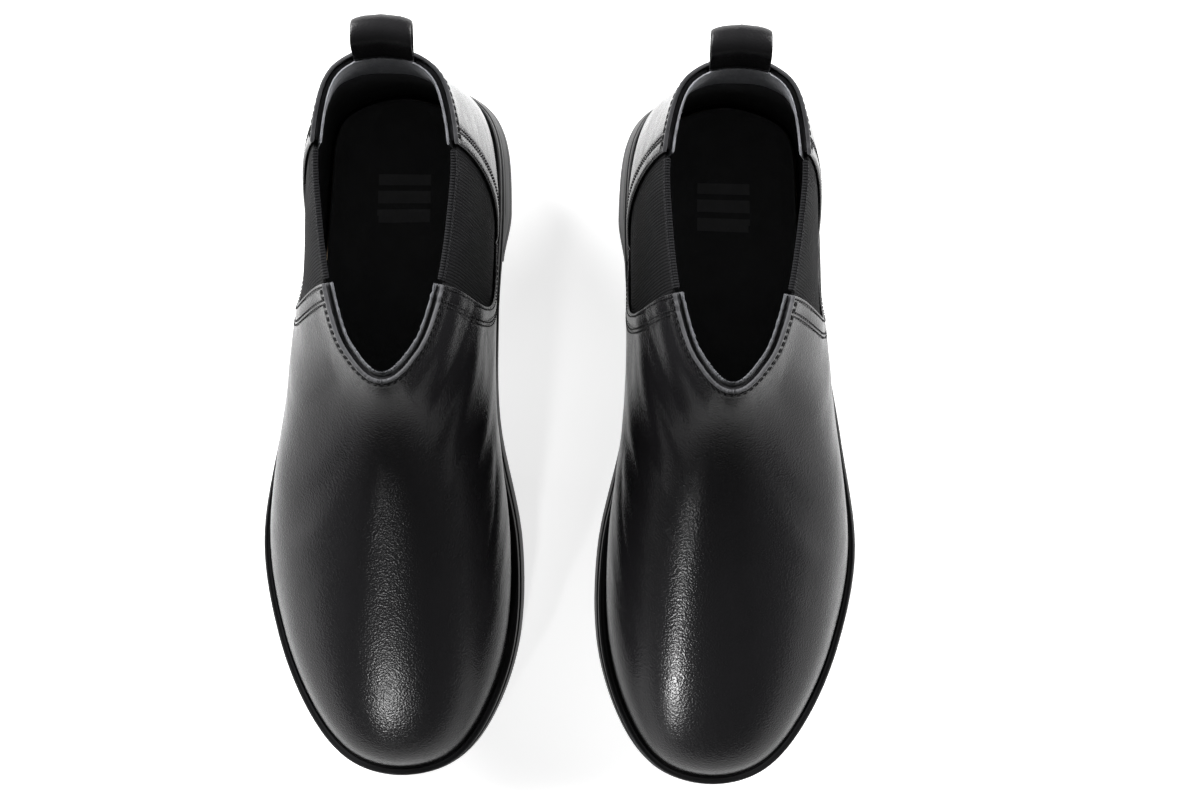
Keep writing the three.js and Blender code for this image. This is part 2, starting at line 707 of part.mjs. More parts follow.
const pair = new THREE.Group();
const left = boot('left');
const right = boot('right');
left.position.set(BOOT_SPACING / 2, -STAGGER, 0);
left.rotation.z = THREE.MathUtils.degToRad(LEFT_TURN);
right.position.set(-BOOT_SPACING / 2, 0, 0);
right.rotation.z = THREE.MathUtils.degToRad(RIGHT_TURN);
right.scale.x = -1;
pair.add(left, right);

// The pair's own origin is on the floor, under the middle of everything.
const box = new THREE.Box3().setFromObject(pair);
const middle = box.getCenter(new THREE.Vector3());
left.position.sub(middle.setZ(box.min.z));
right.position.sub(middle);

export default pair;
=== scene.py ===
"""Visual model of a pair of elastic-sided ankle boots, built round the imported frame.

One boot is described in its own frame, in millimetres: "across" is to the outer side of the foot, "along"
runs from the back of the heel to the toe, and z is up from the floor. A Stance then sets it on the floor as
the left boot or, mirrored, as the right one.
"""

import logging
import math
from dataclasses import dataclass, field
from enum import Enum
from typing import Callable

import bmesh
import bpy
import numpy as np
from mathutils import Matrix, Vector, kdtree, noise

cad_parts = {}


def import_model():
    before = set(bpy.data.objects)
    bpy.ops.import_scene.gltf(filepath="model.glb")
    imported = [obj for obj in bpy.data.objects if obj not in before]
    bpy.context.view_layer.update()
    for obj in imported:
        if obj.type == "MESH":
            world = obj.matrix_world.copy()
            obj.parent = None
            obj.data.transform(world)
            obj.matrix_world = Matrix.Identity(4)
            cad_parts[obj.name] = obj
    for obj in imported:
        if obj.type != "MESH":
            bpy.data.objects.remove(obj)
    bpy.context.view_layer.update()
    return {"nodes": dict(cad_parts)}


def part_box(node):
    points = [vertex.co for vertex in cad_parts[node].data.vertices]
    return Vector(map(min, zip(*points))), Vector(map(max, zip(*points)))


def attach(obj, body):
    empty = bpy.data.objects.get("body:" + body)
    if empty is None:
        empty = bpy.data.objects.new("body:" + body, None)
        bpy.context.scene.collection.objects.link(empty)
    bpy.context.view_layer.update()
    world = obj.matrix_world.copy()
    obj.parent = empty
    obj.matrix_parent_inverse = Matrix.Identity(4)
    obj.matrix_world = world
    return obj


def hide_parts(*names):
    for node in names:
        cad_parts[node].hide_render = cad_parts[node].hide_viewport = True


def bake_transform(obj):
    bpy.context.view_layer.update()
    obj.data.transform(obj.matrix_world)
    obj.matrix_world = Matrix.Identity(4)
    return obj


log = logging.getLogger("boots")

MM = 0.001
Array = np.ndarray
Edges = Callable[[Array], tuple[Array, Array]]
Relief = Callable[[Array, Array, Array], Array]


class Side(Enum):
    """Which boot of the pair."""

    LEFT = "left"
    RIGHT = "right"


# ---- The boot's form ----------------------------------------------------------------------------


def smoothstep(x: Array, low: float, high: float) -> Array:
    """Rise smoothly from 0 at low to 1 at high.

    Args:
        x: Values to read.
        low: Where the rise starts.
        high: Where it ends.

    Returns:
        The smooth rise, between 0 and 1.
    """
    t = np.clip((np.asarray(x, float) - low) / (high - low), 0, 1)
    return t * t * (3 - 2 * t)


def lerp(a: Array, b: Array, t: Array) -> Array:
    """Mix a and b, all a at 0 and all b at 1."""
    return a + (b - a) * t


def closed_curve(points: Array, u: Array) -> Array:
    """Read a closed Catmull-Rom curve.

    Args:
        points: Its points, one row each.
        u: Where to read it, once round from 0 to 1.

    Returns:
        One row for each u.
    """
    count = len(points)
    place = np.mod(u, 1.0) * count
    first = np.floor(place).astype(int) % count
    t = (place - np.floor(place))[..., None]
    a, b, c, d = (points[(first + k) % count] for k in (-1, 0, 1, 2))
    start, end = 0.5 * (c - a), 0.5 * (d - b)
    return b + start * t + (3 * (c - b) - 2 * start - end) * t**2 + (2 * (b - c) + start + end) * t**3


def plan_normal(points: Array, u: Array) -> Array:
    """Unit normal in plan that points out of a closed curve.

    Args:
        points: The curve's points, which run heel, outer side, toe.
        u: Where to read it.

    Returns:
        One row for each u, with no height.
    """
    tangent = closed_curve(points, u + 1e-4) - closed_curve(points, u - 1e-4)
    normal = np.stack([-tangent[..., 1], tangent[..., 0], np.zeros_like(tangent[..., 0])], -1)
    return normal / np.linalg.norm(normal, axis=-1, keepdims=True)


HEEL_RIBS = ((9, 38, -9, 44), (8, 37, -6, 42))
TOE_RIBS = ((1.5, 45, 20, 69), (0.5, 48, 20, 71), (0, 49, 20, 72))


@dataclass
class BootForm:
    """The shape of one boot: its sole's outline and heights, and the surface of its upper.

    Lengths are in millimetres and u and v in shares. A station of the sole is a share of its length with its
    outer and inner half widths, as shares of the usual half width. A station of the topline is a share of the
    opening's length with its share of the half width. A rib has four numbers, for the outer and inner sides
    from heel to toe: how far its lower handle stands out of the upper's foot and above it, and how far its
    upper handle stands in from the topline and below it.
    """

    sole_length: float = 303.0
    ball_width: float = 114.8
    heel_width: float = 88.4
    rim: float = 4.3
    heel_flare: float = 3.0
    forepart_flare: float = 1.5
    heel_seat: float = 33.0
    forepart_seat: float = 17.0
    toe_spring_rise: float = 9.0
    midsole: float = 5.0
    outsole_at_heel: float = 5.0
    upper_lift: float = 0.7
    back_height: float = 152.0
    side_height: float = 145.0
    front_height: float = 149.0
    opening_length: float = 127.5
    opening_width: float = 57.0
    opening_setback: float = 6.2
    side_seam: float = 0.17
    gore_foot: float = 0.2
    gore_rear: float = 0.147
    gore_front: float = 0.252
    roundness: float = 1.4
    gore_margin: float = 0.018
    seam_half: float = 0.0004
    heel_stations: tuple = ((0.025, 0.618, 0.618), (0.08, 0.923, 0.923), (0.19, 1.002, 0.995))
    forepart_stations: tuple = (
        (0.35, 0.822, 0.723),
        (0.5, 0.962, 0.718),
        (0.66, 1.09, 0.878),
        (0.8, 0.97, 0.874),
        (0.91, 0.725, 0.695),
        (0.978, 0.41, 0.413),
    )
    topline_stations: tuple = (
        (0.022, 0.5),
        (0.105, 0.84),
        (0.295, 1.0),
        (0.5, 0.95),
        (0.695, 0.83),
        (0.855, 0.63),
        (0.94, 0.4),
        (0.982, 0.22),
        (0.997, 0.09),
    )
    outer_ribs: tuple = (
        *HEEL_RIBS,
        (6, 36, 1, 36),
        (4, 36, 8, 30),
        (3, 38, 10, 28),
        (3, 36, 12, 34),
        (3, 34, 16, 48),
        (2.5, 40, 19, 62),
        *TOE_RIBS,
    )
    inner_ribs: tuple = (
        *HEEL_RIBS,
        (7, 36, 1, 36),
        (10, 36, 7, 32),
        (13, 38, 9, 30),
        (13, 37, 12, 36),
        (6, 34, 16, 50),
        (3, 40, 19, 62),
        *TOE_RIBS,
    )

    def __post_init__(self) -> None:
        """Lay out the curves that the whole boot is read from."""
        half = [(a, o * self.heel_width / 2, i * self.heel_width / 2) for a, o, i in self.heel_stations]
        half += [(a, o * self.ball_width / 2, i * self.ball_width / 2) for a, o, i in self.forepart_stations]
        outer = [(o, -a * self.sole_length, 0) for a, o, _ in half]
        inner = [(-i, -a * self.sole_length, 0) for a, _, i in half]
        self.outline = np.array([(0, 0, 0), *outer, (0, -self.sole_length, 0), *inner[::-1]], float)
        tops = [self._topline_point(a, w) for a, w in self.topline_stations]
        mirrored = [self._topline_point(a, -w) for a, w in self.topline_stations]
        ends = [self._topline_point(0, 0)], [self._topline_point(1, 0)]
        self.topline = np.array([*ends[0], *tops, *ends[1], *mirrored[::-1]], float)
        count = len(self.outline)
        u = np.arange(count) / count
        last = count // 2
        rows = [self.outer_ribs[k] if k <= last else self.inner_ribs[count - k] for k in range(count)]
        out, up, in_, down = (column[:, None] for column in np.array(rows, float).T)
        foot = self.foot_point(u)
        self.low_handles = foot + plan_normal(self.outline, u) * out
        self.low_handles[:, 2] = foot[:, 2] + up[:, 0]
        self.high_handles = self.topline + plan_normal(self.topline, u) * in_
        self.high_handles[:, 2] = self.topline[:, 2] - down[:, 0]

    def _topline_point(self, along: float, across: float) -> tuple[float, float, float]:
        """A point of the topline.

        Args:
            along: Share of the opening's length, from its back.
            across: Share of its half width, positive on the outer side.

        Returns:
            Across, along and height, in millimetres.
        """
        z = self.back_height
        z += (self.side_height - self.back_height) * float(smoothstep(along, 0.08, 0.42))
        z += (self.front_height - self.side_height) * float(smoothstep(along, 0.62, 1))
        y = -(self.opening_setback + along * self.opening_length)
        return across * self.opening_width / 2, y, z

    def toe_spring(self, along: Array) -> Array:
        """How far the sole lifts off the floor towards the toe."""
        return self.toe_spring_rise * np.maximum(0, (np.asarray(along) - 0.66) / 0.34) ** 2

    def seat(self, along: Array) -> Array:
        """Height of the top of the midsole."""
        return lerp(self.heel_seat, self.forepart_seat, smoothstep(along, 0.22, 0.64)) + self.toe_spring(along)

    def underside(self, along: Array) -> Array:
        """Height of the underside of the outsole."""
        top = self.heel_seat - self.midsole - self.outsole_at_heel
        return top * (1 - smoothstep(along, 0.292, 0.6)) + self.toe_spring(along)

    def flare(self, along: Array) -> Array:
        """How far the sole's side leans out on its way down to the floor."""
        return lerp(self.heel_flare, self.forepart_flare, smoothstep(along, 0.2, 0.6))

    def flare_inset(self, along: Array, z: Array) -> Array:
        """How far the sole's side is in from its widest line at a height."""
        floor = self.toe_spring(along)
        return self.flare(along) * np.clip((z - floor) / (self.seat(along) - floor), 0, 1)

    def sole_edge(self, u: Array, inset: Array) -> Array:
        """Points of the sole's outline moved in from its edge.

        Args:
            u: Round the boot.
            inset: Distance in from the edge, in millimetres.

        Returns:
            One row for each u, with no height.
        """
        u = np.asarray(u, float)
        inset = np.broadcast_to(np.asarray(inset, float), u.shape)
        return closed_curve(self.outline, u) - plan_normal(self.outline, u) * inset[..., None]

    def along_at(self, u: Array) -> Array:
        """Share of the sole's length at u."""
        return -self.sole_edge(u, 4.6)[..., 1] / self.sole_length

    def upper_inset(self, along: Array) -> Array:
        """How far the foot of the upper is in from the sole's widest line."""
        return self.flare(along) + self.rim

    def foot_point(self, u: Array) -> Array:
        """Points of the upper's foot.

        Args:
            u: Round the boot.

        Returns:
            One row for each u.
        """
        along = self.along_at(u)
        point = self.sole_edge(u, self.upper_inset(along))
        point[..., 2] = self.seat(along) + self.upper_lift
        return point

    def upper_face(self, u: Array, v: Array) -> Array:
        """Points of the upper's outer face.

        Args:
            u: Round the boot.
            v: From the foot of the upper to the topline.

        Returns:
            One row for each point.
        """
        v = np.asarray(v, float)[..., None]
        foot, top = self.foot_point(u), closed_curve(self.topline, u)
        low, high = closed_curve(self.low_handles, u), closed_curve(self.high_handles, u)
        w = 1 - v
        return w**3 * foot + 3 * w**2 * v * low + 3 * w * v**2 * high + v**3 * top

    def upper_normal(self, u: Array, v: Array) -> Array:
        """Unit normals that point out of the upper.

        Args:
            u: Round the boot.
            v: From the foot of the upper to the topline.

        Returns:
            One row for each point.
        """
        low = np.minimum(v, 1 - 1e-3)
        round_ = self.upper_face(u + 1e-3, low) - self.upper_face(u - 1e-3, low)
        up = self.upper_face(u, low + 1e-3) - self.upper_face(u, low)
        normal = -np.cross(round_, up)
        return normal / np.linalg.norm(normal, axis=-1, keepdims=True)

    def upper_point(self, u: Array, v: Array, depth: Array) -> Array:
        """Points at a depth inside the upper's outer face.

        Args:
            u: Round the boot, from 0 at the heel's back to 0.5 at the toe and on to 1.
            v: From the foot of the upper, 0, to the topline, 1.
            depth: Distance inside the outer face, in millimetres.

        Returns:
            One row for each point.
        """
        u, v, depth = np.broadcast_arrays(np.asarray(u, float), v, depth)
        return self.upper_face(u, v) - self.upper_normal(u, v) * depth[..., None]

    def seam_opening(self, v: Array) -> Array:
        """How far the gore has opened, from 0 at its foot to 1 at the topline."""
        fall = np.clip((1 - np.asarray(v, float)) / (1 - self.gore_foot), 0, 1)
        return (1 - fall**self.roundness) ** (1 / self.roundness)

    def rear_seam(self, v: Array) -> Array:
        """u of the gore's rear seam."""
        return lerp(self.side_seam, self.gore_rear, self.seam_opening(v))

    def front_seam(self, v: Array) -> Array:
        """u of the gore's front seam."""
        return lerp(self.side_seam, self.gore_front, self.seam_opening(v))

    def rise_length(self, u: float) -> float:
        """Length of the rib at u, from foot to topline, in millimetres."""
        line = self.upper_face(np.full(60, u), np.linspace(0, 1, 60))
        return float(np.linalg.norm(np.diff(line, axis=0), axis=1).sum())


# ---- Finishes -----------------------------------------------------------------------------------


@dataclass
class NodeBench:
    """Lays out the nodes of one material round its Principled shader."""

    name: str
    tree: bpy.types.NodeTree = field(init=False)
    material: bpy.types.Material = field(init=False)

    def __post_init__(self) -> None:
        """Start the material with its shader and its coordinates."""
        self.material = bpy.data.materials.new(self.name)
        self.material.use_nodes = True
        self.tree = self.material.node_tree
        self.shader = self.tree.nodes["Principled BSDF"]
        self.coordinates = self.tree.nodes.new("ShaderNodeTexCoord")

    def add(self, kind: str, inputs: dict | None = None, **settings: object) -> bpy.types.Node:
        """Add a node.

        Args:
            kind: The node's type, without its ShaderNode prefix.
            inputs: Socket name or index to a value, or to a socket that feeds it.
            settings: Attributes of the node.

        Returns:
            The node.
        """
        node = self.tree.nodes.new("ShaderNode" + kind)
        for key, value in settings.items():
            setattr(node, key, value)
        for key, value in (inputs or {}).items():
            if isinstance(value, bpy.types.NodeSocket):
                self.tree.links.new(value, node.inputs[key])
            else:
                node.inputs[key].default_value = value
        return node

    def noise(
        self, scale: float, detail: float = 3.0, stretch: tuple = (1, 1, 1), rough: float = 0.5
    ) -> bpy.types.NodeSocket:
        """Noise on object coordinates.

        Args:
            scale: Repeats to the metre.
            detail: How many finer octaves are added.
            stretch: Factor on the scale along each axis.
            rough: Weight of the finer octaves.

        Returns:
            The socket of the noise, from 0 to 1.
        """
        vector = self.add("Mapping", {0: self.coordinates.outputs["Object"], 3: stretch}).outputs[0]
        inputs = {"Vector": vector, "Scale": scale, "Detail": detail, "Roughness": rough}
        return self.add("TexNoise", inputs).outputs["Fac"]

    def cells(self, scale: float, feature: str = "F1") -> bpy.types.NodeSocket:
        """Distance inside rounded cells, with their number to the metre."""
        inputs = {"Vector": self.coordinates.outputs["Object"], "Scale": scale}
        return self.add("TexVoronoi", inputs, feature=feature).outputs["Distance"]

    def ribs(self, pitch: float, along: int) -> bpy.types.NodeSocket:
        """Parallel ribs on the piece's own UV map, which is in metres.

        Args:
            pitch: Distance from rib to rib, in metres.
            along: 0 for ribs that stand side by side in U, 1 in V.

        Returns:
            The socket of the ribs' height, from 0 to 1.
        """
        split = self.add("SeparateXYZ", {0: self.coordinates.outputs["UV"]})
        angle = self.math("MULTIPLY", split.outputs[along], 2 * math.pi / pitch)
        return self.math("MULTIPLY_ADD", self.math("SINE", angle), 0.5, 0.5)

    def math(self, operation: str, *values: object) -> bpy.types.NodeSocket:
        """One arithmetic node on sockets or numbers."""
        return self.add("Math", dict(enumerate(values)), operation=operation).outputs[0]

    def span(self, value: bpy.types.NodeSocket, low: float, high: float) -> bpy.types.NodeSocket:
        """Spread a value between 0 and 1 over another range."""
        return self.add("MapRange", {0: value, 3: low, 4: high}).outputs[0]

    def blend(self, factor: bpy.types.NodeSocket, first: tuple, second: tuple) -> bpy.types.NodeSocket:
        """Mix two colours.

        Args:
            factor: All of the first at 0, all of the second at 1.
            first: One colour.
            second: The other.

        Returns:
            The socket of the mixed colour.
        """
        node = self.add("Mix", data_type="RGBA")
        self.tree.links.new(factor, node.inputs["Factor"])
        node.inputs[6].default_value = (*first, 1)
        node.inputs[7].default_value = (*second, 1)
        return node.outputs[2]

    def bump(self, layers: list[tuple[object, float, float]]) -> None:
        """Stack bumps under the shader.

        Args:
            layers: A height socket, a strength and a depth in metres for each layer, coarsest first.
        """
        below = None
        for height, strength, depth in layers:
            inputs = {"Height": height, "Strength": strength, "Distance": depth}
            if below:
                inputs["Normal"] = below
            below = self.add("Bump", inputs).outputs[0]
        self.tree.links.new(below, self.shader.inputs["Normal"])

    def set(self, **sockets: object) -> None:
        """Set or feed the shader's sockets.

        Args:
            sockets: Socket name, with _ for a space, to a value or to a socket that feeds it.
        """
        for key, value in sockets.items():
            socket = self.shader.inputs[key.replace("_", " ")]
            if isinstance(value, bpy.types.NodeSocket):
                self.tree.links.new(value, socket)
            else:
                socket.default_value = value


@dataclass(frozen=True)
class LeatherFinish:
    """Smooth dyed leather with a fine grain, soft gloss and faint pull-up marks."""

    name: str
    dark: tuple = (0.0035, 0.0034, 0.0038)
    light: tuple = (0.0095, 0.0092, 0.01)
    gloss: tuple = (0.19, 0.31)
    grain: float = 0.75

    def make(self) -> bpy.types.Material:
        """Build the material.

        Returns:
            The material.
        """
        bench = NodeBench(self.name)
        cloudy = bench.noise(26.0, 4.0)
        rubbed = bench.noise(150.0, 3.0, (1.0, 0.35, 1.0), 0.5)
        pebble = bench.cells(1350.0, "SMOOTH_F1")
        pores = bench.noise(3400.0, 2.0)
        creases = bench.noise(95.0, 3.0, (1.0, 0.22, 0.6), 0.5)
        mottle = bench.math("MULTIPLY_ADD", rubbed, 0.6, bench.math("MULTIPLY", cloudy, 0.4))
        bench.set(
            Base_Color=bench.blend(mottle, self.dark, self.light),
            Roughness=bench.span(mottle, self.gloss[1] + 0.08, self.gloss[0] - 0.08),
            Specular_IOR_Level=0.17,
        )
        bench.bump([(creases, 0.035, 0.0005), (pebble, self.grain, 0.00016), (pores, 0.18, 0.00005)])
        return bench.material


@dataclass(frozen=True)
class SuedeFinish:
    """Short napped suede."""

    name: str
    dark: tuple = (0.03, 0.0307, 0.0335)
    light: tuple = (0.13, 0.133, 0.143)

    def make(self) -> bpy.types.Material:
        """Build the material.

        Returns:
            The material.
        """
        bench = NodeBench(self.name)
        brushed = bench.noise(420.0, 5.0, (1.0, 1.0, 0.6), 0.7)
        nap = bench.noise(1900.0, 4.0)
        bench.set(
            Base_Color=bench.blend(brushed, self.dark, self.light),
            Roughness=0.96,
            Specular_IOR_Level=0.2,
            Sheen_Weight=0.12,
            Sheen_Roughness=0.5,
        )
        bench.bump([(brushed, 0.6, 0.0006), (nap, 0.8, 0.0003)])
        return bench.material


@dataclass(frozen=True)
class LiningFinish:
    """Matt lining leather."""

    name: str
    dark: tuple = (0.008, 0.008, 0.009)
    light: tuple = (0.02, 0.02, 0.022)

    def make(self) -> bpy.types.Material:
        """Build the material.

        Returns:
            The material.
        """
        bench = NodeBench(self.name)
        cloudy = bench.noise(70.0, 4.0)
        grain = bench.cells(900.0, "SMOOTH_F1")
        bench.set(
            Base_Color=bench.blend(cloudy, self.dark, self.light),
            Roughness=bench.span(cloudy, 0.75, 0.6),
            Specular_IOR_Level=0.25,
            Sheen_Weight=0.1,
        )
        bench.bump([(cloudy, 0.3, 0.0008), (grain, 0.4, 0.0002)])
        return bench.material


@dataclass(frozen=True)
class ElasticFinish:
    """Ribbed elastic: upright rubber cords under crossing yarns."""

    name: str
    rib_pitch: float = 0.0013
    yarn_pitch: float = 0.0007
    dark: tuple = (0.0014, 0.0014, 0.0016)
    light: tuple = (0.0045, 0.0045, 0.005)

    def make(self) -> bpy.types.Material:
        """Build the material.

        Returns:
            The material.
        """
        bench = NodeBench(self.name)
        ribs = bench.ribs(self.rib_pitch, 0)
        yarns = bench.ribs(self.yarn_pitch, 1)
        fuzz = bench.noise(1500.0, 4.0)
        weave = bench.math("MULTIPLY", ribs, bench.math("MULTIPLY_ADD", yarns, 0.45, 0.55))
        bench.set(
            Base_Color=bench.blend(
                bench.math("MULTIPLY", weave, bench.span(fuzz, 0.5, 1.0)), self.dark, self.light
            ),
            Roughness=0.88,
            Specular_IOR_Level=0.1,
        )
        bench.bump([(weave, 0.9, 0.0004), (fuzz, 0.3, 0.0001)])
        return bench.material


@dataclass(frozen=True)
class RubberFinish:
    """Moulded black rubber with a satin skin."""

    name: str
    dark: tuple = (0.006, 0.006, 0.0063)
    light: tuple = (0.012, 0.012, 0.0126)
    gloss: tuple = (0.4, 0.55)

    def make(self) -> bpy.types.Material:
        """Build the material.

        Returns:
            The material.
        """
        bench = NodeBench(self.name)
        cloudy = bench.noise(55.0, 4.0)
        skin = bench.noise(2200.0, 3.0)
        bench.set(
            Base_Color=bench.blend(cloudy, self.dark, self.light),
            Roughness=bench.span(cloudy, self.gloss[0], self.gloss[1]),
            Specular_IOR_Level=0.16,
        )
        bench.bump([(skin, 0.25, 0.00008)])
        return bench.material


@dataclass(frozen=True)
class ThreadFinish:
    """Waxed sewing thread."""

    name: str
    colour: tuple = (0.006, 0.006, 0.0066)

    def make(self) -> bpy.types.Material:
        """Build the material.

        Returns:
            The material.
        """
        bench = NodeBench(self.name)
        twist = bench.noise(3000.0, 2.0)
        bench.set(
            Base_Color=bench.blend(twist, tuple(c * 0.6 for c in self.colour), self.colour),
            Roughness=0.8,
            Specular_IOR_Level=0.2,
        )
        bench.bump([(twist, 0.4, 0.0001)])
        return bench.material


@dataclass(frozen=True)
class GroundFinish:
    """Granular or fibrous material: cork, pressed board, bare steel, a pale floor."""

    name: str
    dark: tuple
    light: tuple
    grain_scale: float = 500.0
    roughness: float = 0.9
    metallic: float = 0.0
    depth: float = 0.0002

    def make(self) -> bpy.types.Material:
        """Build the material.

        Returns:
            The material.
        """
        bench = NodeBench(self.name)
        grain = bench.noise(self.grain_scale, 4.0)
        bench.set(
            Base_Color=bench.blend(grain, self.dark, self.light),
            Roughness=self.roughness,
            Metallic=self.metallic,
        )
        bench.bump([(grain, 0.3, self.depth)])
        return bench.material


class Finishes:
    """Every material of the pair, made once."""

    def __init__(self) -> None:
        """Make them all."""
        self.upper = LeatherFinish("upper_leather").make()
        self.tab = LeatherFinish("tab_leather", gloss=(0.3, 0.45), grain=0.6).make()
        self.edge = LiningFinish("cut_leather_edge", (0.016, 0.016, 0.0175), (0.06, 0.06, 0.065)).make()
        self.lining = LiningFinish("lining_leather", (0.016, 0.016, 0.0175), (0.042, 0.042, 0.046)).make()
        self.suede = SuedeFinish("collar_suede").make()
        # Heel grip suede: partly its own grey, partly painted light. It is made lighter than the collar suede
        # to stand in for light falling on the inner back wall.
        self.grip = SuedeFinish("heel_grip_suede_painted_light", (0.09, 0.092, 0.1), (0.28, 0.285, 0.305)).make()
        self.elastic = ElasticFinish("gore_elastic").make()
        bound = ElasticFinish("gore_binding", 0.0011, 0.0011, (0.004, 0.004, 0.0045), (0.018, 0.018, 0.0195))
        self.binding = bound.make()
        self.rubber = RubberFinish("sole_rubber").make()
        self.rim = RubberFinish("welt_rubber", gloss=(0.33, 0.45)).make()
        self.thread = ThreadFinish("black_thread").make()
        self.footbed = LiningFinish("footbed_cover", (0.1, 0.1, 0.103), (0.14, 0.14, 0.145)).make()
        self.mark = LiningFinish("footbed_mark", (0.21, 0.21, 0.216), (0.27, 0.27, 0.278)).make()
        self.board = GroundFinish("fibreboard", (0.28, 0.21, 0.14), (0.4, 0.31, 0.21), 700.0).make()
        self.cork = GroundFinish("ground_cork", (0.24, 0.14, 0.07), (0.5, 0.33, 0.17), 450.0).make()
        self.steel = GroundFinish("shank_steel", (0.5, 0.5, 0.52), (0.62, 0.63, 0.65), 900.0, 0.35, 1.0).make()


# ---- Making meshes ------------------------------------------------------------------------------


@dataclass
class Stance:
    """Where one boot stands, and the making of its finished objects."""

    side: Side
    turn: float
    origin: Array = field(default_factory=lambda: np.zeros(3))

    def settle(self, form: BootForm) -> None:
        """Find the boot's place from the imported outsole.

        Args:
            form: The boot's form, whose outline the outsole follows.
        """
        u = np.linspace(0, 1, 721)
        edge = self.place(form.sole_edge(u, 0))
        low, high = (np.array(corner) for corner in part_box(f"{self.side.value}_outsole"))
        centre = (edge.min(0) + edge.max(0)) / 2
        shift = (low + high) / 2 - centre
        self.origin = self.origin + np.array([shift[0], shift[1], 0.0])

    @property
    def mirrored(self) -> bool:
        """Whether the boot is the right one."""
        return self.side is Side.RIGHT

    def place(self, points: Array) -> Array:
        """Turn a boot's own millimetres into metres in the frame.

        Args:
            points: Points in the boot's frame, one row each.

        Returns:
            The same points in the frame.
        """
        scaled = np.array(points, float) * MM
        if self.mirrored:
            scaled[..., 0] *= -1
        cos, sin = math.cos(self.turn), math.sin(self.turn)
        x, y = scaled[..., 0].copy(), scaled[..., 1].copy()
        scaled[..., 0], scaled[..., 1] = x * cos - y * sin, x * sin + y * cos
        return scaled + self.origin

    def node(self, name: str) -> str:
        """The name of this boot's node or piece."""
        return f"{self.side.value}_{name}"

    def finish(self, bm: bmesh.types.BMesh, name: str, materials: list) -> bpy.types.Object:
        """Turn a closed bmesh in the boot's millimetres into an object in the frame.

        Args:
            bm: The mesh, which is used up.
            name: The piece's name without its side.
            materials: Its materials, in slot order.

        Returns:
            The object, at the origin and facing outwards.
        """
        placed = self.place(np.array([v.co for v in bm.verts], float))
        for vert, point in zip(bm.verts, placed):
            vert.co = point
        bmesh.ops.recalc_face_normals(bm, faces=bm.faces)
        for face in bm.faces:
            face.smooth = True
        mesh = bpy.data.meshes.new(self.node(name))
        bm.to_mesh(mesh)
        bm.free()
        for material in materials:
            mesh.materials.append(material)
        piece = bpy.data.objects.new(self.node(name), mesh)
        bpy.context.scene.collection.objects.link(piece)
        return piece


def laid_grid(points: Array, uv: Array | None = None, zones: Array | None = None) -> bmesh.types.BMesh:
    """A grid laid over points.

    Args:
        points: Points in rows and columns.
        uv: The UV of each point, in the same rows and columns.
        zones: The material slot of each column.

    Returns:
        The open sheet.
    """
    rows, columns = points.shape[:2]
    bm = bmesh.new()
    bmesh.ops.create_grid(bm, x_segments=rows - 1, y_segments=columns - 1, size=1.0, calc_uvs=True)
    layer = bm.loops.layers.uv.verify()
    places = {}
    for vert in bm.verts:
        i = round((vert.co.x + 1) / 2 * (rows - 1))
        j = round((vert.co.y + 1) / 2 * (columns - 1))
        places[vert.index] = (i, j)
        vert.co = points[i, j]
    for face in bm.faces:
        if zones is not None:
            face.material_index = min(int(zones[places[vert.index][1]]) for vert in face.verts)
        if uv is not None:
            for loop in face.loops:
                loop[layer].uv = uv[places[loop.vert.index]]
    return bm


def arc_lengths(points: Array) -> Array:
    """Distance along a line of points, in metres, from millimetres."""
    steps = np.linalg.norm(np.diff(points, axis=0), axis=1)
    return np.concatenate([[0], np.cumsum(steps)]) * MM


def weld(bm: bmesh.types.BMesh, distance: float = 1e-3) -> bmesh.types.BMesh:
    """Join points that lie together and close what is still open.

    Args:
        bm: The mesh, which is changed.
        distance: Points nearer than this are joined.

    Returns:
        The same mesh.
    """
    bmesh.ops.remove_doubles(bm, verts=bm.verts, dist=distance)
    open_edges = [edge for edge in bm.edges if edge.is_boundary]
    if open_edges:
        filled = bmesh.ops.holes_fill(bm, edges=open_edges, sides=0)
        bmesh.ops.triangulate(bm, faces=filled["faces"])
    return bm


@dataclass
class PatternBook:
    """Shapes already worked out for one boot, kept so that the other is cut from the same patterns."""

    patterns: dict[str, bmesh.types.BMesh] = field(default_factory=dict)

    def cut(self, name: str, make: Callable[[], bmesh.types.BMesh]) -> bmesh.types.BMesh:
        """Copy a pattern, which is made the first time.

        Args:
            name: The pattern's name.
            make: Makes its closed mesh, in the boot's millimetres.

        Returns:
            A copy to finish and use up.
        """
        if name not in self.patterns:
            self.patterns[name] = make()
        return self.patterns[name].copy()

    def close(self) -> None:
        """Throw the patterns away."""
        for pattern in self.patterns.values():
            pattern.free()
        self.patterns.clear()


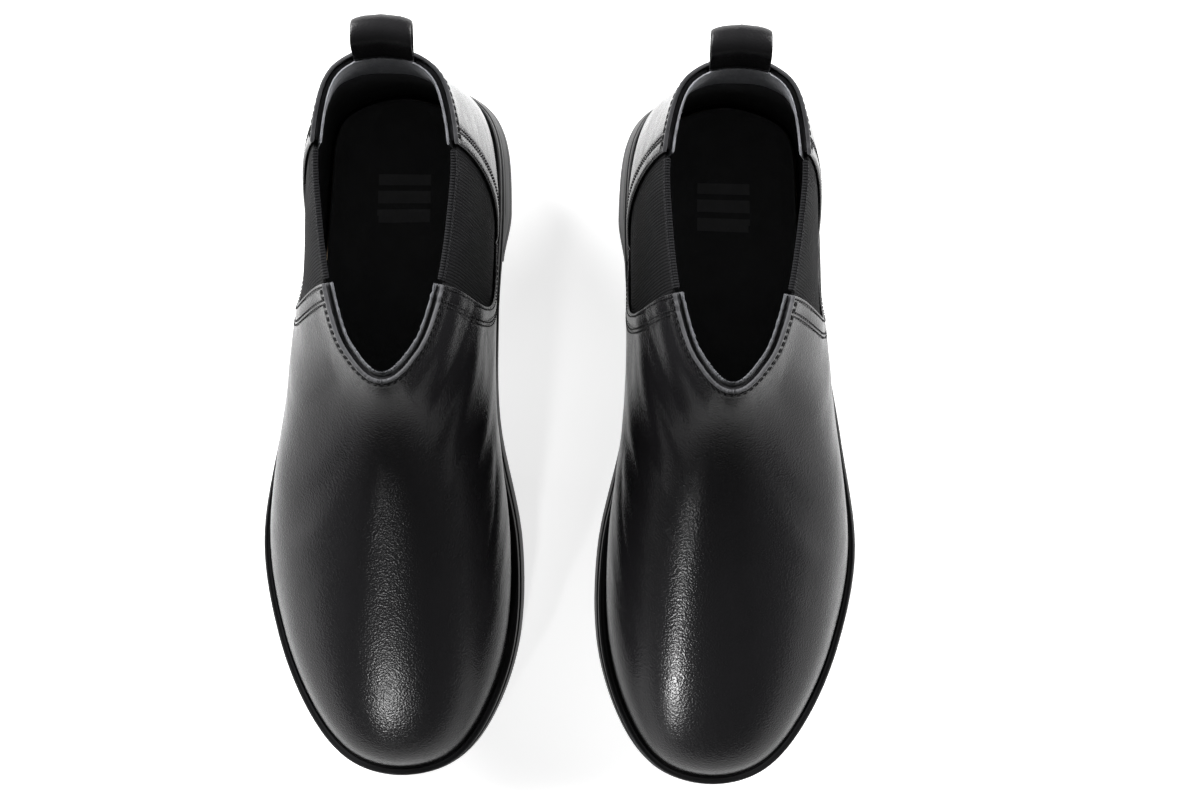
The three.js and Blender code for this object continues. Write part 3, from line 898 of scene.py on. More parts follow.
@dataclass
class Panel:
    """A cut panel of the upper: a sheet between two depths with rounded edges.

    edges gives its two sides in u for each v, and the two lists of shares and rows say where its points lie.
    """

    form: BootForm
    edges: Edges
    rows: Array
    depths: tuple[float, float]
    shares: Array
    width: float
    relief: Relief | None = None
    edge_round: float = 0.5
    ragged: float = 0.0
    torn_reach: float = 2.5

    @staticmethod
    def _tear(u: float) -> float:
        """Height of the torn top edge at u, coarse tufts with finer ones on them."""
        return noise.noise((u * 230, 4.0, 1.0)) + 0.6 * noise.noise((u * 700, 1.0, 7.0))

    def mesh(self) -> bmesh.types.BMesh:
        """Build the closed sheet.

        Returns:
            The sheet, in the boot's millimetres.
        """
        outside, inside = self.depths
        middle, half = (outside + inside) / 2, (inside - outside) / 2
        turn = np.radians([20, 45, 70, 90])
        curl = np.radians([0, 30, 60])
        radius = min(self.edge_round, half)
        rise = self.form.rise_length(0.2)
        foot, top = self.rows[0], self.rows[-1]
        corner_v, corner_d = (radius / rise) * (1 - np.cos(turn)), radius * (1 - np.sin(turn))
        inner_rows = self.rows[1:-1]
        v_outer = np.concatenate([foot + corner_v, inner_rows, top - corner_v[::-1]])
        flat_face = np.full(len(inner_rows), outside)
        d_outer = np.concatenate([outside + corner_d, flat_face, outside + corner_d[::-1]])
        v_all = np.concatenate([v_outer, v_outer[::-1]])
        d_all = np.concatenate([d_outer, (2 * middle - d_outer)[::-1]])
        v_all, d_all = np.append(v_all, v_all[0]), np.append(d_all, d_all[0])
        ends = half * (1 - np.cos(curl)) / self.width
        full = half / self.width
        clear = full * 1.2
        body = self.shares[(self.shares > clear) & (self.shares < 1 - clear)]
        shares = np.concatenate([ends, [full], body, [1 - full], 1 - ends[::-1]])
        swell = np.ones(len(shares))
        swell[:3] = np.sin(curl)
        swell[-3:] = swell[:3][::-1]
        first, last = self.edges(v_all)
        u = lerp(first[None, :], last[None, :], shares[:, None])
        v = np.array(np.broadcast_to(v_all[None, :], u.shape))
        if self.ragged:
            torn = np.array([self._tear(a) for a in u[:, len(v_outer)]])
            v += self.ragged / rise * torn[:, None] * smoothstep(v, top - self.torn_reach / rise, top)
        depth = middle + (d_all[None, :] - middle) * swell[:, None]
        if self.relief:
            face = d_all < middle
            lift = np.zeros(u.shape)
            skin = self.form.upper_point(u[:, face], v[:, face], 0.0)
            lift[:, face] = self.relief(u[:, face], v[:, face], skin)
            depth = depth - lift * swell[:, None]
        points = self.form.upper_point(u, v, depth)
        across = arc_lengths(points[:, len(v_outer) // 2])
        up = arc_lengths(points[len(shares) // 2, : len(v_outer)])
        up = np.concatenate([up, up[::-1], up[:1]])
        uv = np.stack(np.broadcast_arrays(across[:, None], up[None, :]), -1)
        rim = np.zeros(len(v_all), int)
        rim[len(v_outer) - 3 : len(v_outer) + 3] = 1
        return weld(laid_grid(points, uv, rim), 2e-3)


def even_shares(width: float, pitch: float, band: float = 0.0, band_pitch: float = 0.8) -> Array:
    """Shares across a panel, closer together in a band along both sides.

    Args:
        width: The panel's usual width, in millimetres.
        pitch: Usual distance between points.
        band: Width of the closer band.
        band_pitch: Distance between points in it.

    Returns:
        The shares, from 0 to 1.
    """
    side = np.arange(0, band, band_pitch) / width
    body = np.linspace(band / width, 1 - band / width, max(2, round((width - 2 * band) / pitch)))
    return np.unique(np.concatenate([side, body, 1 - side]))


def level_edges(first: float, last: float) -> Edges:
    """Sides of a panel that stand at one u each."""
    return lambda v: (np.full_like(v, first), np.full_like(v, last))


@dataclass
class StitchRow:
    """A row of sewn stitches along a line on the boot."""

    points: Array
    normals: Array
    pitch: float = 2.7
    length: float = 2.1
    girth: float = 0.34

    def resampled(self) -> tuple[Array, Array, Array]:
        """Lay the stitches out along the line.

        Returns:
            Middle, direction and normal of each stitch.
        """
        lengths = arc_lengths(self.points) / MM
        count = max(2, int(lengths[-1] // self.pitch))
        spots = (np.arange(count) + 0.5) * lengths[-1] / count
        read = lambda values, at: np.stack([np.interp(at, lengths, values[:, k]) for k in range(3)], -1)
        ahead = read(self.points, spots + 0.3) - read(self.points, spots - 0.3)
        return read(self.points, spots), ahead, read(self.normals, spots)

    def add_to(self, bm: bmesh.types.BMesh) -> None:
        """Sew the row into a mesh.

        Args:
            bm: The mesh that holds all rows of one piece, in the boot's millimetres.
        """
        for middle, ahead, normal in zip(*self.resampled()):
            x = Vector(ahead).normalized()
            z = Vector(normal).normalized()
            y = z.cross(x).normalized()
            turn = Matrix((x, y, z)).transposed().to_4x4()
            size = Matrix.Diagonal((self.length / 2, self.girth, self.girth * 0.8, 1))
            bmesh.ops.create_uvsphere(
                bm,
                u_segments=6,
                v_segments=5,
                radius=1.0,
                matrix=Matrix.Translation(middle) @ turn @ size @ Matrix.Rotation(math.pi / 2, 4, "Y"),
            )


@dataclass
class Sewing:
    """The stitch rows of one panel, and the soft grooves that they pull into it."""

    form: BootForm
    rows: list[StitchRow] = field(default_factory=list)

    def beside_seam(self, seam: Callable[[Array], Array], sign: float, offset: float, span: tuple) -> None:
        """Add a row beside a gore seam on the outer side, and its match on the inner side.

        Args:
            seam: The seam's u at each v.
            sign: 1 where u grows away from the seam, -1 where it falls.
            offset: Distance from the seam, in millimetres.
            span: Lowest and highest v.
        """
        form = self.form
        v = np.linspace(*span, 140)
        edge = seam(v)
        line = form.upper_face(edge, v)
        step = 5e-3
        ahead = form.upper_face(edge + step, v) - form.upper_face(edge - step, v)
        per_u = np.linalg.norm(ahead, axis=-1) / 1e-2
        aside = np.cross(form.upper_normal(edge, v), np.gradient(line, axis=0))
        aside /= np.linalg.norm(aside, axis=-1, keepdims=True)
        away = form.upper_face(edge + sign * 1e-3, v) - line
        flip = np.sign((aside * away).sum(-1, keepdims=True))
        u, v = self._nearest(line + aside * flip * offset, edge + sign * offset / per_u, v)
        self._add(u, v)
        self._add(1 - u, v)

    def _nearest(self, target: Array, u: Array, v: Array) -> tuple[Array, Array]:
        """Find u and v of points on the upper, from a first guess.

        Args:
            target: The points.
            u: First guess of their u.
            v: First guess of their v.

        Returns:
            Their u and v.
        """
        for _ in range(4):
            here = self.form.upper_face(u, v)
            du = (self.form.upper_face(u + 1e-4, v) - here) / 1e-4
            dv = (self.form.upper_face(u, v + 1e-4) - here) / 1e-4
            gap = target - here
            a, b, c = (du * du).sum(-1), (du * dv).sum(-1), (dv * dv).sum(-1)
            p, q = (gap * du).sum(-1), (gap * dv).sum(-1)
            det = a * c - b * b
            u = u + (p * c - q * b) / det
            v = np.clip(v + (q * a - p * b) / det, 0.002, 0.998)
        return u, v

    def below_topline(self, first: float, last: float, offset: float) -> None:
        """Add a row along the topline.

        Args:
            first: u where it starts.
            last: u where it ends.
            offset: Distance below the topline, in millimetres.
        """
        u = np.linspace(first, last, 160)
        v = np.full_like(u, 1.0)
        here = self.form.upper_face(u, v)
        down = self.form.upper_face(u, v - 1e-3) - here
        down /= np.linalg.norm(down, axis=-1, keepdims=True)
        u, v = self._nearest(here + down * offset, u, v - offset / 130)
        self._add(u, v)

    def _add(self, u: Array, v: Array) -> None:
        """Keep a row that lies in the leather's face."""
        self.rows.append(StitchRow(self.form.upper_point(u, v, 0.02), self.form.upper_normal(u, v)))

    def groove(self, points: Array, depth: float = 0.36, reach: float = 0.85) -> Array:
        """How far each point is pulled in by the rows near it.

        Args:
            points: Points of the panel's face.
            depth: Depth of the groove under a row.
            reach: Its half width.

        Returns:
            The pull, in millimetres, negative inwards.
        """
        if not self.rows:
            return np.zeros(points.shape[:-1])
        line = np.concatenate([row.points for row in self.rows])
        tree = kdtree.KDTree(len(line))
        for i, point in enumerate(line):
            tree.insert(point, i)
        tree.balance()
        flat = points.reshape(-1, 3)
        gap = np.array([tree.find(point)[2] for point in flat])
        return (-depth * np.exp(-((gap / reach) ** 2))).reshape(points.shape[:-1])

    def mesh(self) -> bmesh.types.BMesh:
        """Sew all rows into one mesh.

        Returns:
            The mesh, in the boot's millimetres.
        """
        bm = bmesh.new()
        for row in self.rows:
            row.add_to(bm)
        return bm


# ---- Upper --------------------------------------------------------------------------------------


@dataclass
class Upper:
    """The leather upper with its gores, linings, stiffeners, collar and stitching."""

    form: BootForm
    stance: Stance
    finishes: Finishes
    book: PatternBook
    leather: float = 1.6
    middle: tuple[float, float] = (1.9, 3.1)
    lining: tuple[float, float] = (3.7, 4.6)
    collar_foot: float = 0.83
    tape: tuple[float, float] = (1.65, 3.66)
    puff_top: float = 0.36
    counter_top: float = 0.44
    stiffener_foot: float = 0.08
    tab_half_u: float = 0.0415
    vamp_width: float = 400.0
    quarter_width: float = 150.0
    collar_widths: tuple[float, float] = (230.0, 110.0)
    tape_width: float = 26.0
    gore_width: float = 80.0
    binding_width: float = 55.0
    stiffener_width: float = 120.0
    lining_lap: float = 0.005

    def front_edges(self, v: Array) -> tuple[Array, Array]:
        """Sides of the front panels."""
        edge = self.form.front_seam(v) + self.form.seam_half
        return edge, 1 - edge

    def rear_edges(self, v: Array) -> tuple[Array, Array]:
        """Sides of the rear panels."""
        edge = self.form.rear_seam(v) - self.form.seam_half
        return -edge, edge

    def _lining_lap(self, v: Array) -> Array:
        """How far the lining's side seam stands in front of the leather's, below the gore."""
        return self.lining_lap * (1 - smoothstep(v, 0.15, self.form.gore_foot))

    def front_lining_edges(self, v: Array) -> tuple[Array, Array]:
        """Sides of the vamp's lining."""
        edge = self.front_edges(v)[0] + self._lining_lap(v)
        return edge, 1 - edge

    def rear_lining_edges(self, v: Array) -> tuple[Array, Array]:
        """Sides of the quarter's lining."""
        edge = self.rear_edges(v)[1] + self._lining_lap(v)
        return -edge, edge

    def gore_edges(self, v: Array) -> tuple[Array, Array]:
        """Sides of the outer gore, with its hidden margins."""
        form, inside = self.form, np.maximum(v, self.form.gore_foot)
        return form.rear_seam(inside) - form.gore_margin, form.front_seam(inside) + form.gore_margin

    def build(self) -> list[bpy.types.Object]:
        """Build every piece of the upper.

        Returns:
            The pieces.
        """
        return [*self._leathers(), *self._linings(), *self._stiffeners(), *self._gores()]

    def _panel(
        self,
        name: str,
        edges: Edges,
        rows: Array,
        depths: tuple[float, float],
        shares: Array,
        width: float,
        material: bpy.types.Material,
        relief: Relief | None = None,
        edge_round: float = 0.5,
        ragged: float = 0.0,
    ) -> bpy.types.Object:
        """Build one panel and stand it for its node.

        Args:
            name: The node's name without its side.
            edges: Its sides in u.
            rows: Its rows in v.
            depths: Its outer and inner depth.
            shares: Its columns.
            width: Its usual width.
            material: Its finish.
            relief: How far its face stands out.
            edge_round: Radius of its edges.
            ragged: How far its top edge is torn.

        Returns:
            The piece.
        """
        panel = Panel(self.form, edges, rows, depths, shares, width, relief, edge_round, ragged)
        rim = self.finishes.edge if material is self.finishes.upper else material
        piece = self.stance.finish(self.book.cut(name, panel.mesh), f"{name}_piece", [material, rim])
        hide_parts(self.stance.node(name))
        return piece

    def _creases(self, u: Array, v: Array, points: Array) -> Array:
        """Soft folds where the leather has eased over the last.

        Args:
            u: Round the boot.
            v: Up the boot.
            points: The face's points.

        Returns:
            How far the face stands out, in millimetres.
        """
        fold = np.zeros(u.shape)
        side = np.where(u < 0.5, u, 1 - u)
        mask = smoothstep(v, 0.15, 0.45) * (1 - smoothstep(v, 0.86, 0.99))
        mask = mask * (1 - smoothstep(side, 0.33, 0.42)) * smoothstep(side, 0.19, 0.23)
        soft = smoothstep(v, 0.02, 0.2) * (1 - smoothstep(v, 0.85, 1.0))
        for index in np.ndindex(u.shape):
            x, y, z = points[index]
            slow = noise.noise((x / 38, y / 46, z / 40 + 3.1))
            fold[index] = 0.35 * slow * soft[index]
            if mask[index] > 0.02:
                lean = x * 0.85 + y * 0.24 + z * 0.5
                crease = noise.noise((lean / 8.5, (y - z) / 70, 5.2))
                sharp = (1 - abs(noise.noise((lean / 15, (y - z) / 90, 9.7)))) ** 8
                fold[index] += mask[index] * (0.8 * crease - 0.45 * sharp)
        return fold

    def _leathers(self) -> list[bpy.types.Object]:
        """Build the vamp and the quarter, with their sewing.

        Returns:
            The two leathers and their threads.
        """
        form = self.form
        front, rear = Sewing(form), Sewing(form)
        span = (form.gore_foot + 0.012, 0.985)
        for offset in (1.5, 6.6, 8.2):
            front.beside_seam(form.front_seam, 1, offset, span)
        for offset in (5.3, 6.9):
            rear.beside_seam(form.rear_seam, -1, offset, span)
        gap = 0.004
        for offset in (2.6, 4.4):
            front.below_topline(form.gore_front + gap, 1 - form.gore_front - gap, offset)
            rear.below_topline(-form.gore_rear + gap, form.gore_rear - gap, offset)
        rise = form.rise_length(0.2)
        fine = 1 - np.arange(0, 9.5, 0.8)[::-1] / rise
        rows = np.concatenate([np.linspace(0, fine[0], 84)[:-1], fine])
        parts = (
            ("vamp", self.front_edges, self.vamp_width, (3.6, 13, 0.85), front, 1.0),
            ("quarter", self.rear_edges, self.quarter_width, (2.6, 12, 0.85), rear, 0.6),
        )
        leathers = []
        for name, edges, width, spacing, sewing, folds in parts:
            shares, depths = even_shares(width, *spacing), (0.0, self.leather)
            relief = lambda u, v, p, sewn=sewing, much=folds: sewn.groove(p) + much * self._creases(u, v, p)
            leathers.append(
                self._panel(name, edges, rows, depths, shares, width, self.finishes.upper, relief, ragged=0.4)
            )
        threads = []
        for name, sewing in (("vamp_stitching", front), ("quarter_stitching", rear)):
            threads.append(self.stance.finish(self.book.cut(name, sewing.mesh), name, [self.finishes.thread]))
        for piece in (leathers[0], threads[0]):
            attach(piece, "boots")
        for piece in (leathers[1], threads[1]):
            self._lean(piece)
        return [*leathers, *threads]

    def _lean(self, piece: bpy.types.Object) -> None:
        """Bake a rear piece's place into its mesh; it is not made to lean.

        Args:
            piece: The piece.
        """
        base = self.stance.place(np.array([0.0, 0.0, 42.0]))
        top = self.stance.place(np.array([0.0, 0.0, 112.0]))
        self.stance.node("back")
        tuple(top)
        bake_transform(piece)

    def _linings(self) -> list[bpy.types.Object]:
        """Build the linings, the suede collar strips and the tapes between the layers of the topline.

        Returns:
            The pieces.
        """
        low = np.linspace(0.04, self.collar_foot - 0.006, 40)
        high = np.linspace(self.collar_foot, 1, 20)
        tape = np.linspace(0.93, 0.986, 8)
        finishes, (front_collar, rear_collar) = self.finishes, self.collar_widths
        front, rear = self.vamp_width, self.quarter_width
        spans = (
            ("vamp_lining", self.front_lining_edges, low, self.lining, (front, 5.0), finishes.lining),
            ("vamp_collar", self.front_edges, high, self.lining, (front_collar, 1.6), finishes.suede),
            ("vamp_tape", self.front_edges, tape, self.tape, (front_collar, 3.0), finishes.edge),
            ("quarter_lining", self.rear_lining_edges, low, self.lining, (rear, 3.5), finishes.lining),
            # The quarter's collar strip wears the heel grip suede, lightened with painted light on the inner
            # back wall.
            ("quarter_collar", self.rear_edges, high, self.lining, (rear_collar, 1.3), finishes.grip),
        )
        pieces = []
        for name, edges, rows, depths, (width, pitch), material in spans:
            torn = 1.0 if name.endswith("collar") else 0.0
            shares = even_shares(width, pitch)
            piece = self._panel(name, edges, rows, depths, shares, width, material, ragged=torn)
            if name.startswith("vamp"):
                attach(piece, "boots")
            else:
                self._lean(piece)
            pieces.append(piece)
        clear, short = 0.004, 0.0035
        spread = {
            "quarter_tape_outer": (self.tab_half_u + clear, self.form.gore_rear - short),
            "quarter_tape_inner": (short - self.form.gore_rear, -self.tab_half_u - clear),
            "tab_anchor": (-self.tab_half_u + clear, self.tab_half_u - clear),
        }
        for name, (first, last) in spread.items():
            edges = level_edges(first, last)
            shares = even_shares(self.tape_width, 1.5)
            piece = self._panel(name, edges, tape, self.tape, shares, self.tape_width, finishes.edge)
            self._lean(piece)
            pieces.append(piece)
        return pieces

    def _stiffeners(self) -> list[bpy.types.Object]:
        """Build the toe puff and the heel counter, between leather and lining.

        Returns:
            The two pieces.
        """
        width, board = self.stiffener_width, self.finishes.board
        pieces = []
        for name, first, last, top in (
            ("toe_puff", 0.37, 0.63, self.puff_top),
            ("heel_counter", -0.14, 0.14, self.counter_top),
        ):
            rows, shares = np.linspace(self.stiffener_foot, top, 16), even_shares(width, 5)
            pieces.append(self._panel(name, level_edges(first, last), rows, self.middle, shares, width, board))
        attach(pieces[0], "boots")
        self._lean(pieces[1])
        return pieces

    def _gores(self) -> list[bpy.types.Object]:
        """Build both elastic gores, with the rolled bindings on their top edges and their stitches.

        Returns:
            The pieces.
        """
        form, finishes = self.form, self.finishes
        pieces = []
        rows = np.concatenate([np.linspace(0.15, 0.3, 16)[:-1], np.linspace(0.3, 0.957, 44)])
        puckers = lambda u, v, p: 0.12 * np.sin(p[..., 2] * 2.1) * smoothstep(v, 0.6, 0.95)
        for name in ("outer", "inner"):
            flip = (lambda u: u) if name == "outer" else (lambda u: 1 - u)
            edges = lambda v, f=flip: tuple(f(u) for u in self.gore_edges(v))
            width, shares = self.gore_width, even_shares(self.gore_width, 1.6)
            gore = self._panel(
                f"gore_{name}", edges, rows, self.middle, shares, width, finishes.elastic, puckers
            )
            bound = level_edges(flip(form.gore_rear + 0.003), flip(form.gore_front - 0.003))
            binding = self._panel(
                f"gore_binding_{name}",
                bound,
                np.linspace(0.958, 1.0, 9),
                (1.45, 3.6),
                even_shares(self.binding_width, 1.2),
                self.binding_width,
                finishes.binding,
                edge_round=1.05,
            )
            for piece in (gore, binding):
                self._stretch(piece)
                pieces.append(piece)
            pieces.append(self._gore_sewing(name, flip))
        return pieces

    def _gore_sewing(self, name: str, flip: Callable[[Array], Array]) -> bpy.types.Object:
        """Sew the row of stitches just below a gore's binding.

        Args:
            name: Which gore, outer or inner.
            flip: Turns the outer gore's u into this gore's.

        Returns:
            The thread.
        """
        form, depth = self.form, 1.42
        u = flip(np.linspace(form.gore_rear + 0.004, form.gore_front - 0.004, 80))
        v = np.full_like(u, 0.974)
        line, normals = form.upper_point(u, v, depth), form.upper_normal(u, v)
        row = StitchRow(line, normals, pitch=1.7, length=1.0, girth=0.3)
        bm = bmesh.new()
        row.add_to(bm)
        piece = self.stance.finish(bm, f"gore_stitching_{name}", [self.finishes.thread])
        self._stretch(piece)
        return piece

    def _stretch(self, piece: bpy.types.Object) -> None:
        """Bake a gore piece's place into its mesh; it is not made to stretch.

        Args:
            piece: The piece.
        """
        front = self.stance.place(np.array([0.0, -100.0, 70.0]))
        back = self.stance.place(np.array([0.0, -34.0, 130.0]))
        self.stance.node("back")
        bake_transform(piece)


# ---- Pull tab -----------------------------------------------------------------------------------


@dataclass
class PullTab:
    """The folded leather loop at the back of the collar."""

    form: BootForm
    stance: Stance
    finishes: Finishes
    width: float = 23.0
    strap: float = 1.6
    rise: float = 21.0
    lean: float = math.radians(35)
    loop: float = 12.0
    clearance: float = 0.9

    def _line(self) -> tuple[Array, Array]:
        """The strap's middle line from its front end over the fold to its back end.

        Returns:
            Distance backwards and height of each point, from the tab's root.
        """
        root = self.strap + 0.1
        height = self.rise - self.clearance - root
        half = self.loop / 2 - self.strap / 2
        crown = height - self.strap / 2 - half
        keys = [
            (-3.2, -0.85),
            (0, -0.85),
            (height * 0.33, -half * 0.62),
            (crown, -half),
            (crown + half * 0.71, -half * 0.71),
            (crown + half, 0),
            (crown + half * 0.71, half * 0.71),
            (crown, half),
            (height * 0.33, half * 0.62),
            (0, 0.85),
            (-3.2, 0.85),
        ]
        keys = np.array([keys[0], *keys, keys[-1]], float)
        t = np.linspace(0, len(keys) - 3 - 1e-9, 120)
        k = t.astype(int)
        f = (t - k)[:, None]
        a, b, c, d = (keys[k + n] for n in range(4))
        line = 0.5 * (2 * b + (c - a) * f + (2 * a - 5 * b + 4 * c - d) * f**2 + (3 * b - a - 3 * c + d) * f**3)
        lean = np.where(line[:, 0] < 0, 0.15, 1.0) * self.lean
        back = line[:, 0] * np.sin(lean) + line[:, 1] * np.cos(self.lean)
        up = line[:, 0] * np.cos(lean) - line[:, 1] * np.sin(self.lean)
        return back, up

    def build(self) -> list[bpy.types.Object]:
        """Build the tab.

        Returns:
            The tab.
        """
        back, up = self._line()
        steps = np.stack([np.gradient(back), np.gradient(up)], -1)
        steps /= np.linalg.norm(steps, axis=1, keepdims=True)
        side = np.stack([-steps[:, 1], steps[:, 0]], -1)
        angles = np.linspace(0, 2 * math.pi, 37)
        squareness, edge_round = 0.32, 0.85
        across = np.sign(np.cos(angles)) * np.abs(np.cos(angles)) ** squareness * self.width / 2
        thick = np.sign(np.sin(angles)) * np.abs(np.sin(angles)) ** edge_round * self.strap / 2
        top = self.form.upper_face(np.array([0.0]), np.array([1.0]))[0]
        root = np.array([0, top[1] - 2.5 - 0.7, top[2] + self.clearance + self.strap + 0.1])
        sag = 1.9
        y = root[1] + back[:, None] + side[:, :1] * thick[None, :]
        y = y + sag * (0.5 - (across[None, :] / (self.width / 2)) ** 2)
        z = root[2] + up[:, None] + side[:, 1:] * thick[None, :]
        x = np.broadcast_to(across[None, :], y.shape)
        points = np.stack([x, y, z], -1)
        lengths = arc_lengths(np.stack([np.zeros_like(back), back, up], -1))
        around = arc_lengths(points[40])
        uv = np.stack(np.broadcast_arrays(lengths[:, None], around[None, :]), -1)
        tab = self.stance.finish(weld(laid_grid(points, uv)), "pull_tab_piece", [self.finishes.tab])
        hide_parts(self.stance.node("pull_tab"))
        low = self.stance.place(root + np.array([0, 0, -1.6]))
        high = self.stance.place(root + np.array([0, 0, 2.2]))
        self.stance.node("back")
        self.stance.node("tab")
        tuple(low)
        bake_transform(tab)
        return [tab]


# ---- Sole ---------------------------------------------------------------------------------------


@dataclass
class Sole:
    """The rubber sole unit, the welt and what lies inside under the foot."""

    form: BootForm
    stance: Stance
    finishes: Finishes
    book: PatternBook
    welt_height: float = 2.2
    welt_groove: float = 1.1
    gap: float = 0.3
    filler: float = 1.8
    board: float = 2.0
    footbed: float = 5.0
    heel_cup: float = 6.0
    top_lift: float = 7.0
    breast: float = 0.262
    breast_draw: float = 2.4
    groove: float = 3.5
    wall: float = 4.6
    tread: tuple = (0.62, 0.68, 0.74, 0.8, 0.86, 0.92)
    heel_tread: tuple = (0.06, 0.13, 0.2)

    def _slab(
        self,
        low: Callable[[Array], Array],
        high: Callable[[Array], Array],
        inset: Callable[[Array, Array], Array],
        stop: tuple[float, float] = (0.0, 1.0),
        soften: float = 0.9,
        cells: int = 120,
        grooves: tuple = (),
    ) -> bmesh.types.BMesh:
        """A layer of the sole with rounded edges.

        Args:
            low: Height of its lower face at a share of the length.
            high: Height of its upper face.
            inset: Inset of its side at a share of the length and a height.
            stop: Shares of the length between which it lies.
            soften: Radius of its edges.
            cells: Points along one side.
            grooves: Shares of the length where tread grooves cross its lower face.

        Returns:
            The closed layer, in the boot's millimetres.
        """
        form = self.form
        table = np.linspace(0, 0.5, 2001)
        alongs = form.along_at(table)
        middles = (alongs + form.along_at(1 - table)) / 2
        start = 0.0 if stop[0] <= 0 else float(np.interp(stop[0], alongs, table))
        end = 0.5 if stop[1] >= 1 else float(np.interp(stop[1], alongs, table))
        share = np.linspace(0, 1, cells)
        u = start + (end - start) * (share - np.sin(2 * np.pi * share) / (2.6 * np.pi))
        half = self.groove / 2 / form.sole_length
        beside = (-1.14, -0.86, 0.86, 1.14)
        lips = [groove + half * reach for groove in grooves for reach in beside]
        u = np.unique(np.concatenate([u, np.interp(lips, middles, table)])) if grooves else u
        middle = np.interp(u, table, middles)
        cut = np.zeros(len(u))
        for groove in grooves:
            cut[np.abs(middle - groove) <= half] = self.groove
        turn = np.radians([0, 22, 45, 67, 90])
        rings = [(0.0, angle, False) for angle in turn]
        rings += [(fraction, math.pi / 2, False) for fraction in (0.3, 0.5, 0.7)]
        rings += [(1.0, angle, True) for angle in turn[::-1]]

        def edge(side_u: Array, ring: tuple) -> Array:
            """One ring of points along a side of the layer.

            Args:
                side_u: u of its points.
                ring: Share of the height, angle round the edge, and whether it is on the upper edge.

            Returns:
                The points.
            """
            along = form.along_at(side_u)
            bottom, top = low(along), high(along)
            fraction, angle, upper = ring
            radius = np.minimum(soften, (top - bottom) * 0.45)
            lift = radius * (1 - np.sin(angle))
            z = np.where(upper, top - radius + radius * np.cos(angle), bottom + radius - radius * np.cos(angle))
            if fraction not in (0.0, 1.0):
                z = bottom + radius + (top - bottom - 2 * radius) * fraction
                lift = np.zeros_like(radius)
            point = form.sole_edge(side_u, inset(along, z) + lift)
            point[..., 2] = z
            return point

        outer = np.array([edge(u, ring) for ring in rings])
        inner = np.array([edge(1 - u, ring) for ring in rings])
        mix = np.concatenate([[0.03, 0.045], np.linspace(0.1, 0.9, 15), [0.955, 0.97]])[:, None, None]
        over = outer[-1] + (inner[-1] - outer[-1]) * mix
        under = inner[0] + (outer[0] - inner[0]) * mix
        under[1:-1, :, 2] += cut
        sections = np.concatenate([outer, over, inner[::-1], under, outer[:1]]).transpose(1, 0, 2)
        return weld(laid_grid(sections), 5e-3)

    def build(self) -> list[bpy.types.Object]:
        """Build every piece of the sole.

        Returns:
            The pieces.
        """
        form = self.form
        pieces = []
        side = form.flare_inset
        heel_side = lambda along, z: side(along, z) + self.breast_draw * smoothstep(along, 0.19, self.breast)
        midsole_low = lambda along: form.seat(along) - form.midsole
        heel_top = form.heel_seat - form.midsole - form.outsole_at_heel - self.gap
        filler_top = lambda along: form.seat(along) + self.gap + self.filler
        board_low = lambda along: filler_top(along) + self.gap
        board_top = lambda along: board_low(along) + self.board
        board_inset = lambda along, z: form.upper_inset(along) + self.wall + 0.4

        def outsole() -> bmesh.types.BMesh:
            """The outsole with its grooved tread."""
            top = lambda a: midsole_low(a) - self.gap
            return self._slab(form.underside, top, side, soften=0.6, grooves=self.tread)

        def heel_block() -> bmesh.types.BMesh:
            """The block of the heel."""
            low = lambda a: np.full_like(a, self.top_lift + self.gap)
            return self._slab(low, lambda a: np.full_like(a, heel_top), heel_side, (0, self.breast), 0.5)

        def top_lift() -> bmesh.types.BMesh:
            """The top lift with its grooved tread."""
            top = lambda a: np.full_like(a, self.top_lift)
            return self._slab(np.zeros_like, top, heel_side, (0, self.breast), 0.5, grooves=self.heel_tread)

        def midsole() -> bmesh.types.BMesh:
            """The midsole."""
            return self._slab(midsole_low, form.seat, lambda a, z: form.flare_inset(a, z) + 0.5, soften=1.1)

        def insole_board() -> bmesh.types.BMesh:
            """The insole board."""
            return self._slab(board_low, board_top, board_inset, soften=0.3, cells=70)

        for make in (outsole, heel_block, top_lift, midsole):
            pieces.append(self._piece(make.__name__, make, self.finishes.rubber))
        pieces.append(self._piece("welt", self._welt, self.finishes.rim))
        pieces.append(self._piece("insole_board", insole_board, self.finishes.board))
        pieces.append(self._footbed(board_top))
        return pieces

    def _piece(
        self, name: str, make: Callable[[], bmesh.types.BMesh], material: bpy.types.Material
    ) -> bpy.types.Object:
        """Finish a sole piece and stand it for its node.

        Args:
            name: The node's name without its side.
            make: Makes its mesh.
            material: Its finish.

        Returns:
            The piece.
        """
        piece = self.stance.finish(self.book.cut(name, make), f"{name}_piece", [material])
        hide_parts(self.stance.node(name))
        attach(piece, "boots")
        return piece

    def _welt(self) -> bmesh.types.BMesh:
        """Shape the raised rim: a rounded bead outside a flat shelf, with a shallow groove inside it.

        Returns:
            The closed rim, in the boot's millimetres.
        """
        form = self.form
        u = np.linspace(0, 1, 361)
        along = form.along_at(u)
        outside, inside = form.flare(along) + 0.4, form.upper_inset(along) - self.welt_groove
        base = form.seat(along) + self.gap
        profile = [
            (0.0, 0.0),
            (0.0, 0.35),
            (0.03, 0.66),
            (0.12, 0.88),
            (0.26, 1.0),
            (0.42, 0.97),
            (0.55, 0.86),
            (0.72, 0.8),
            (0.9, 0.8),
            (1.0, 0.7),
            (1.0, 0.0),
            (0.5, 0.0),
            (0.0, 0.0),
        ]
        rings = []
        for across, up in profile:
            ring = form.sole_edge(u, outside + (inside - outside) * across)
            ring[:, 2] = base + self.welt_height * up
            rings.append(ring)
        return weld(laid_grid(np.array(rings).transpose(1, 0, 2)), 5e-3)

